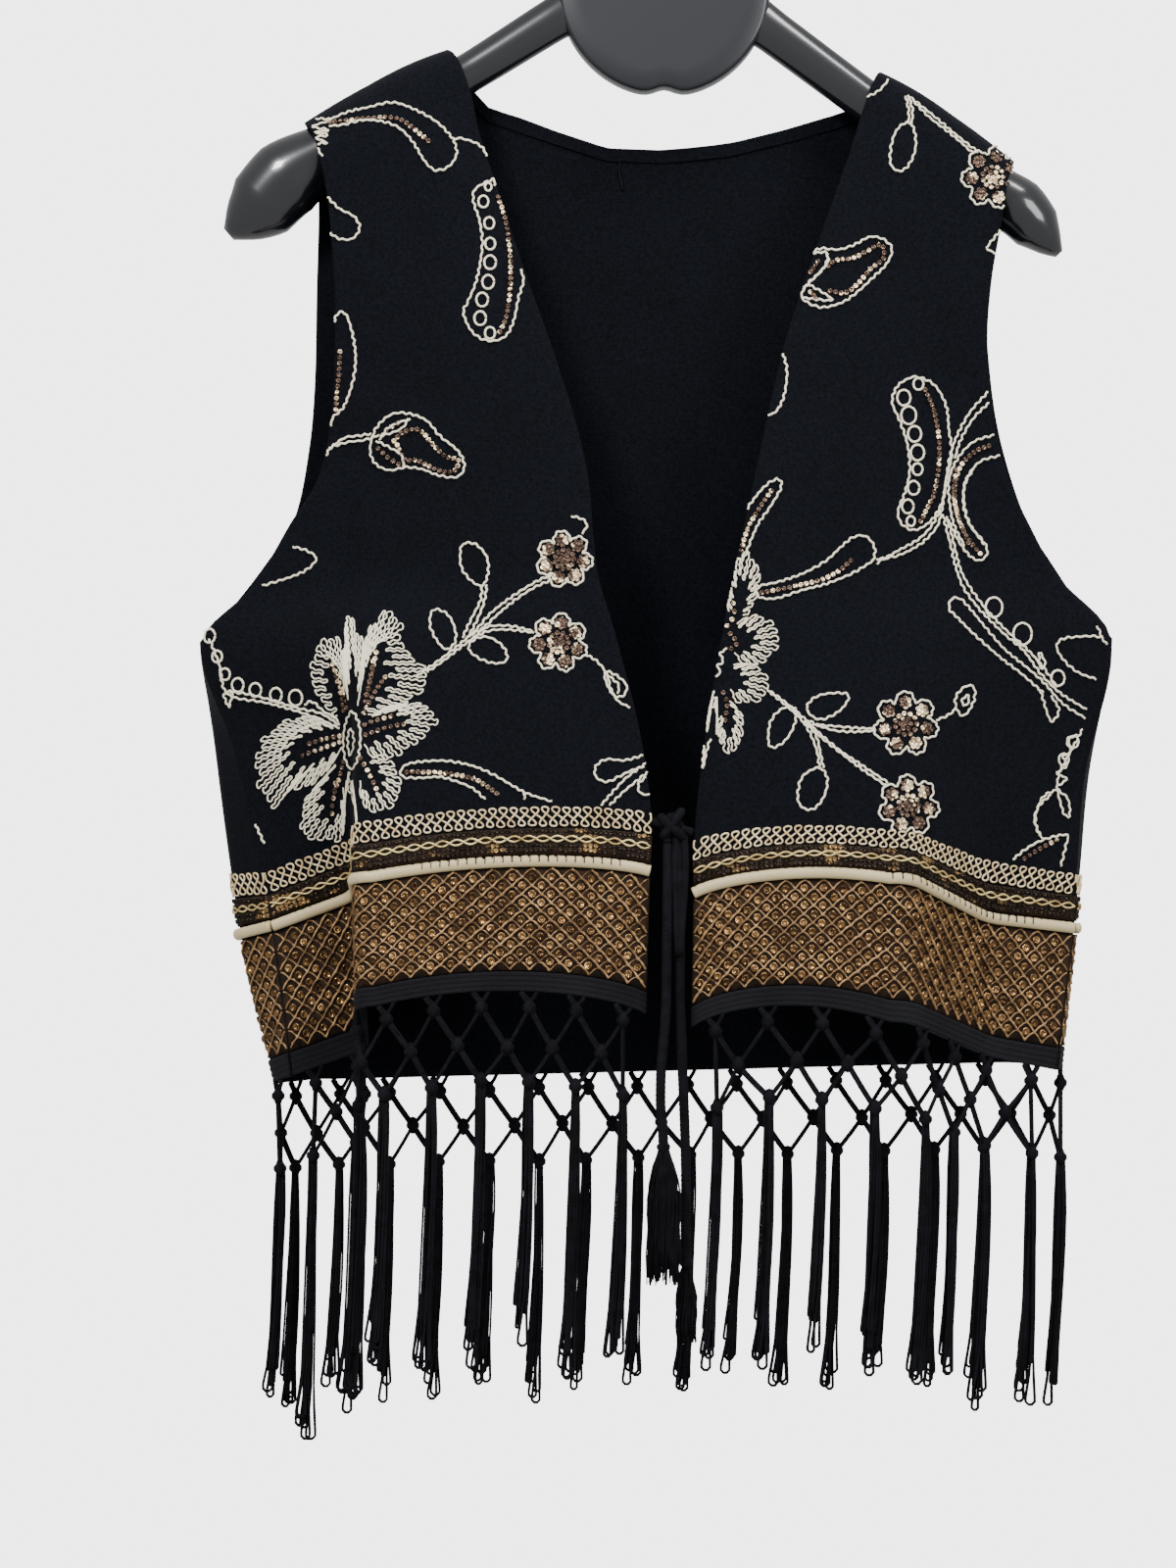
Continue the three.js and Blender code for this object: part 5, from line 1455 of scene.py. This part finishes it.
def noise_node(tree, scale, detail=3.0, stretch=(1, 1, 1)):
    """Noise over the object's own coordinates, in metres."""
    where = tree.nodes.new("ShaderNodeTexCoord")
    mapping = tree.nodes.new("ShaderNodeMapping")
    mapping.inputs["Scale"].default_value = stretch
    node = tree.nodes.new("ShaderNodeTexNoise")
    node.inputs["Scale"].default_value = scale
    node.inputs["Detail"].default_value = detail
    tree.links.new(where.outputs["Object"], mapping.inputs["Vector"])
    tree.links.new(mapping.outputs["Vector"], node.inputs["Vector"])
    return node.outputs["Fac"]


def math_node(tree, operation, a, b):
    """One sum of the node tree. a and b are sockets or numbers."""
    node = tree.nodes.new("ShaderNodeMath")
    node.operation = operation
    for socket, value in zip(node.inputs, (a, b)):
        if isinstance(value, (int, float)):
            socket.default_value = value
        else:
            tree.links.new(value, socket)
    return node.outputs[0]


def weave_group():
    """A fine felted weave: its height, and a slow unevenness of the nap."""
    tree, out = group("weave", ["Height", "Nap", "Grain"])
    where = tree.nodes.new("ShaderNodeTexCoord")
    threads = []
    for turn in ((0, 0, 0), (0, math.pi / 2, 0)):
        mapping = tree.nodes.new("ShaderNodeMapping")
        mapping.inputs["Rotation"].default_value = turn
        wave = tree.nodes.new("ShaderNodeTexWave")
        wave.bands_direction = "X"
        wave.inputs["Scale"].default_value = 330
        wave.inputs["Distortion"].default_value = 2.5
        wave.inputs["Detail Scale"].default_value = 3
        tree.links.new(where.outputs["Object"], mapping.inputs["Vector"])
        tree.links.new(mapping.outputs["Vector"], wave.inputs["Vector"])
        threads.append(wave.outputs["Fac"])
    both = math_node(tree, "MULTIPLY", threads[0], threads[1])
    fuzz = noise_node(tree, 1400, 4)
    tree.links.new(math_node(tree, "ADD", both, fuzz), out.inputs["Height"])
    slow = noise_node(tree, 28, 5)
    tree.links.new(slow, out.inputs["Nap"])
    grain = math_node(tree, "MULTIPLY", math_node(tree, "SUBTRACT", noise_node(tree, 620, 2), 0.36), 3.2)
    both = math_node(
        tree, "ADD", math_node(tree, "MULTIPLY", grain, 0.65), math_node(tree, "MULTIPLY", slow, 0.35))
    both = math_node(tree, "MINIMUM", math_node(tree, "MAXIMUM", both, 0.0), 1.0)
    tree.links.new(both, out.inputs["Grain"])
    return tree


def twist_group():
    """The slanting ridges of a spun thread."""
    tree, out = group("twist", ["Height"])
    where = tree.nodes.new("ShaderNodeTexCoord")
    mapping = tree.nodes.new("ShaderNodeMapping")
    mapping.inputs["Rotation"].default_value = (0, 0.7, 0)
    wave = tree.nodes.new("ShaderNodeTexWave")
    wave.bands_direction = "X"
    wave.inputs["Scale"].default_value = 420
    wave.inputs["Distortion"].default_value = 1.5
    tree.links.new(where.outputs["Object"], mapping.inputs["Vector"])
    tree.links.new(mapping.outputs["Vector"], wave.inputs["Vector"])
    tree.links.new(wave.outputs["Fac"], out.inputs["Height"])
    return tree


def speckle_group():
    """Masks that differ from one small piece to the next: evenly spread, and mostly 1. Where the second is 0,
    the embroidery sequins get a painted glint.
    """
    tree, out = group("speckle", ["Mask", "Many"])
    where = tree.nodes.new("ShaderNodeTexCoord")
    cells = tree.nodes.new("ShaderNodeTexVoronoi")
    cells.inputs["Scale"].default_value = 210
    split = tree.nodes.new("ShaderNodeSeparateColor")
    tree.links.new(where.outputs["Object"], cells.inputs["Vector"])
    tree.links.new(cells.outputs["Color"], split.inputs["Color"])
    tree.links.new(split.outputs["Red"], out.inputs["Mask"])
    most = math_node(tree, "MULTIPLY", math_node(tree, "SUBTRACT", split.outputs["Red"], 0.26), 12)
    tree.links.new(math_node(tree, "MINIMUM", math_node(tree, "MAXIMUM", most, 0.0), 1.0), out.inputs["Many"])
    return tree


GROUPS = {"weave": weave_group(), "twist": twist_group(), "speckle": speckle_group()}


def painted_highlight_group():
    """A mask that is mostly 1, with small islands of 0 where the strip's sequins get a painted highlight."""
    tree, out = group("patch", ["Mask"])
    noise = noise_node(tree, 62, 1.0)
    edge = math_node(tree, "MULTIPLY", math_node(tree, "SUBTRACT", 0.66, noise), 14)
    clear = math_node(tree, "MINIMUM", math_node(tree, "MAXIMUM", edge, 0.0), 1.0)
    tree.links.new(clear, out.inputs["Mask"])
    return tree


GROUPS["patch"] = painted_highlight_group()


def srgb(r, g, b):
    """A colour given as it looks, 0 to 255, in the renderer's linear terms."""
    def one(v):
        v /= 255
        return v / 12.92 if v <= 0.04045 else ((v + 0.055) / 1.055) ** 2.4
    return (one(r), one(g), one(b), 1)


def finish(name, colors, rough, metal=0.0, effect=None, mask=None, bump=0.0, distance=0.0003, sheen=0.0,
           coat=0.0, specular=0.5):
    """A material of one or two colours, mixed by a mask, with a bump from an effect's height."""
    material = bpy.data.materials.new(name)
    material.use_nodes = True
    tree = material.node_tree
    shader = tree.nodes["Principled BSDF"]
    shader.inputs["Base Color"].default_value = srgb(*colors[0])
    shader.inputs["Roughness"].default_value = rough
    shader.inputs["Metallic"].default_value = metal
    shader.inputs["Sheen Weight"].default_value = sheen
    shader.inputs["Coat Weight"].default_value = coat
    shader.inputs["Specular IOR Level"].default_value = specular
    used = {}
    for key in {effect, mask} - {None}:
        node = tree.nodes.new("ShaderNodeGroup")
        node.node_tree = GROUPS[key.split(".")[0]]
        used[key.split(".")[0]] = node
    if len(colors) == 2:
        blend = tree.nodes.new("ShaderNodeMix")
        blend.data_type = "RGBA"
        blend.inputs[6].default_value = srgb(*colors[0])
        blend.inputs[7].default_value = srgb(*colors[1])
        kind, socket = mask.split(".")
        tree.links.new(used[kind].outputs[socket], blend.inputs[0])
        tree.links.new(blend.outputs[2], shader.inputs["Base Color"])
    if bump:
        node = tree.nodes.new("ShaderNodeBump")
        node.inputs["Strength"].default_value = bump
        node.inputs["Distance"].default_value = distance
        tree.links.new(used[effect.split(".")[0]].outputs["Height"], node.inputs["Height"])
        tree.links.new(node.outputs["Normal"], shader.inputs["Normal"])
    return material


FINISHES = {
    "cloth": finish("black_wool", [(3, 4, 8), (13, 16, 23)], 0.95, effect="weave", mask="weave.Grain",
                    bump=0.6, sheen=0.012, specular=0.1),
    "gold": finish("pale_gold_cord", [(246, 226, 184), (206, 178, 130)], 0.4, metal=0.1, effect="twist",
                   mask="speckle.Mask", bump=0.4),
    "chain": finish("gold_chain_thread", [(244, 222, 160), (178, 150, 96)], 0.32, metal=0.5, effect="twist",
                    mask="speckle.Mask", bump=0.4),
    "ground": finish("bronze_ground", [(23, 15, 11), (48, 33, 20)], 0.8, specular=0.2, effect="weave",
                     mask="speckle.Mask", bump=0.6),
    "copper": finish("copper_cord", [(180, 142, 96), (100, 72, 44)], 0.36, metal=0.4, effect="twist",
                     mask="speckle.Mask", bump=0.5),
    # the bright first colour, in the mask's small islands, is a painted highlight; the second is the strip
    # sequins' own dark colour
    "specks": finish("dark_sequins_painted_highlights", [(150, 120, 78), (40, 31, 24)], 0.22, metal=0.8, mask="patch.Mask"),
    "cups": finish("bronze_sequins", [(154, 118, 75), (66, 46, 28)], 0.18, metal=0.9, mask="speckle.Mask"),
    "piping": finish("cream_satin", [(210, 194, 152), (176, 158, 116)], 0.42, effect="twist",
                     mask="weave.Nap", bump=0.15),
    "yarn": finish("black_yarn", [(5, 5, 9), (15, 15, 21)], 0.75, effect="twist", mask="speckle.Mask",
                   bump=0.7, specular=0.12),
    "tape": finish("ribbed_tape", [(11, 11, 15), (34, 34, 38)], 0.8, effect="weave", mask="weave.Nap",
                   bump=0.9, distance=0.0006, specular=0.12),
    "ivory": finish("ivory_cord", [(255, 248, 224), (236, 226, 198)], 0.5, effect="twist", mask="weave.Nap",
                    bump=0.4),
    # the pale first colour, on the few sequins where the mask is 0, is a painted glint; the second is the
    # sequins' own smoky colour
    "spangles": finish("smoky_sequins_painted_glints", [(255, 229, 188), (96, 77, 65)], 0.15, metal=0.8,
                       mask="speckle.Many"),
    "plastic": finish("black_plastic", [(13, 15, 20)], 0.24, coat=0.7, specular=0.6),
    "satin_plastic": finish("satin_black_plastic", [(20, 23, 29)], 0.38, coat=0.3, specular=0.5),
    "steel": finish("bright_steel", [(190, 192, 196)], 0.22, metal=1.0),
}
WEARS = {
    # how a piece's name starts, and the finish it wears
    "cloth_": "cloth", "back_neck_band": "cloth", "back_neck_mark": "yarn",
    "gimp_": "gold", "chain_": "chain", "strip_ground": "ground", "strip_sequins": "specks",
    # the piping's dark rings wear the dark ground as painted shade in its gathers
    "piping_cord": "piping", "piping_stitches": "ground",
    "bronze_ground": "ground", "bronze_cords": "copper", "bronze_cups": "cups",
    "fringe_net": "yarn", "fringe_tape": "tape", "tie_": "yarn",
    "hanger_body": "plastic", "hanger_plate": "satin_plastic", "hanger_hook_wire": "steel",
    "embroidery_cord": "ivory", "embroidery_sequins": "spangles",
}
for thing in scene.objects:
    for start, kind in WEARS.items():
        if thing.type == "MESH" and thing.name.startswith(start) and not thing.hide_render:
            thing.data.materials.clear()
            thing.data.materials.append(FINISHES[kind])


# Backdrop and light.
# A plain pale wall and even, soft studio light.
wall = mesh_piece("backdrop", [[-9, 4.5, -7], [9, 4.5, -7], [9, 4.5, 6], [-9, 4.5, 6]], [[0, 1, 2, 3]], False)
pale = finish("pale_wall", [(0, 0, 0)], 1.0, specular=0.0)
pale.node_tree.nodes["Principled BSDF"].inputs["Emission Color"].default_value = srgb(234, 234, 234)
pale.node_tree.nodes["Principled BSDF"].inputs["Emission Strength"].default_value = 5.0
wall.data.materials.append(pale)
wall.visible_glossy = False      # so bright a wall would turn black plastic grey from behind
world = bpy.data.worlds.new("studio")
scene.world = world
world.use_nodes = True
world.node_tree.nodes["Background"].inputs["Color"].default_value = (1, 1, 1, 1)
world.node_tree.nodes["Background"].inputs["Strength"].default_value = 0.62


def lamp(name, place, target, size, power):
    """A soft square light that points at a target."""
    data = bpy.data.lights.new(name, "AREA")
    data.size = size
    data.energy = power
    light = bpy.data.objects.new(name, data)
    light.location = place
    light.rotation_euler = (Vector(target) - Vector(place)).to_track_quat("-Z", "Y").to_euler()
    scene.collection.objects.link(light)


lamp("key", (-0.9, -1.7, 0.9), (0, 0, -0.4), 0.5, 47)
lamp("fill", (1.3, -1.6, 0.1), (0, 0, -0.4), 0.8, 18)
lamp("above", (0.5, -0.8, 1.2), (0.1, 0, -0.25), 0.7, 26)
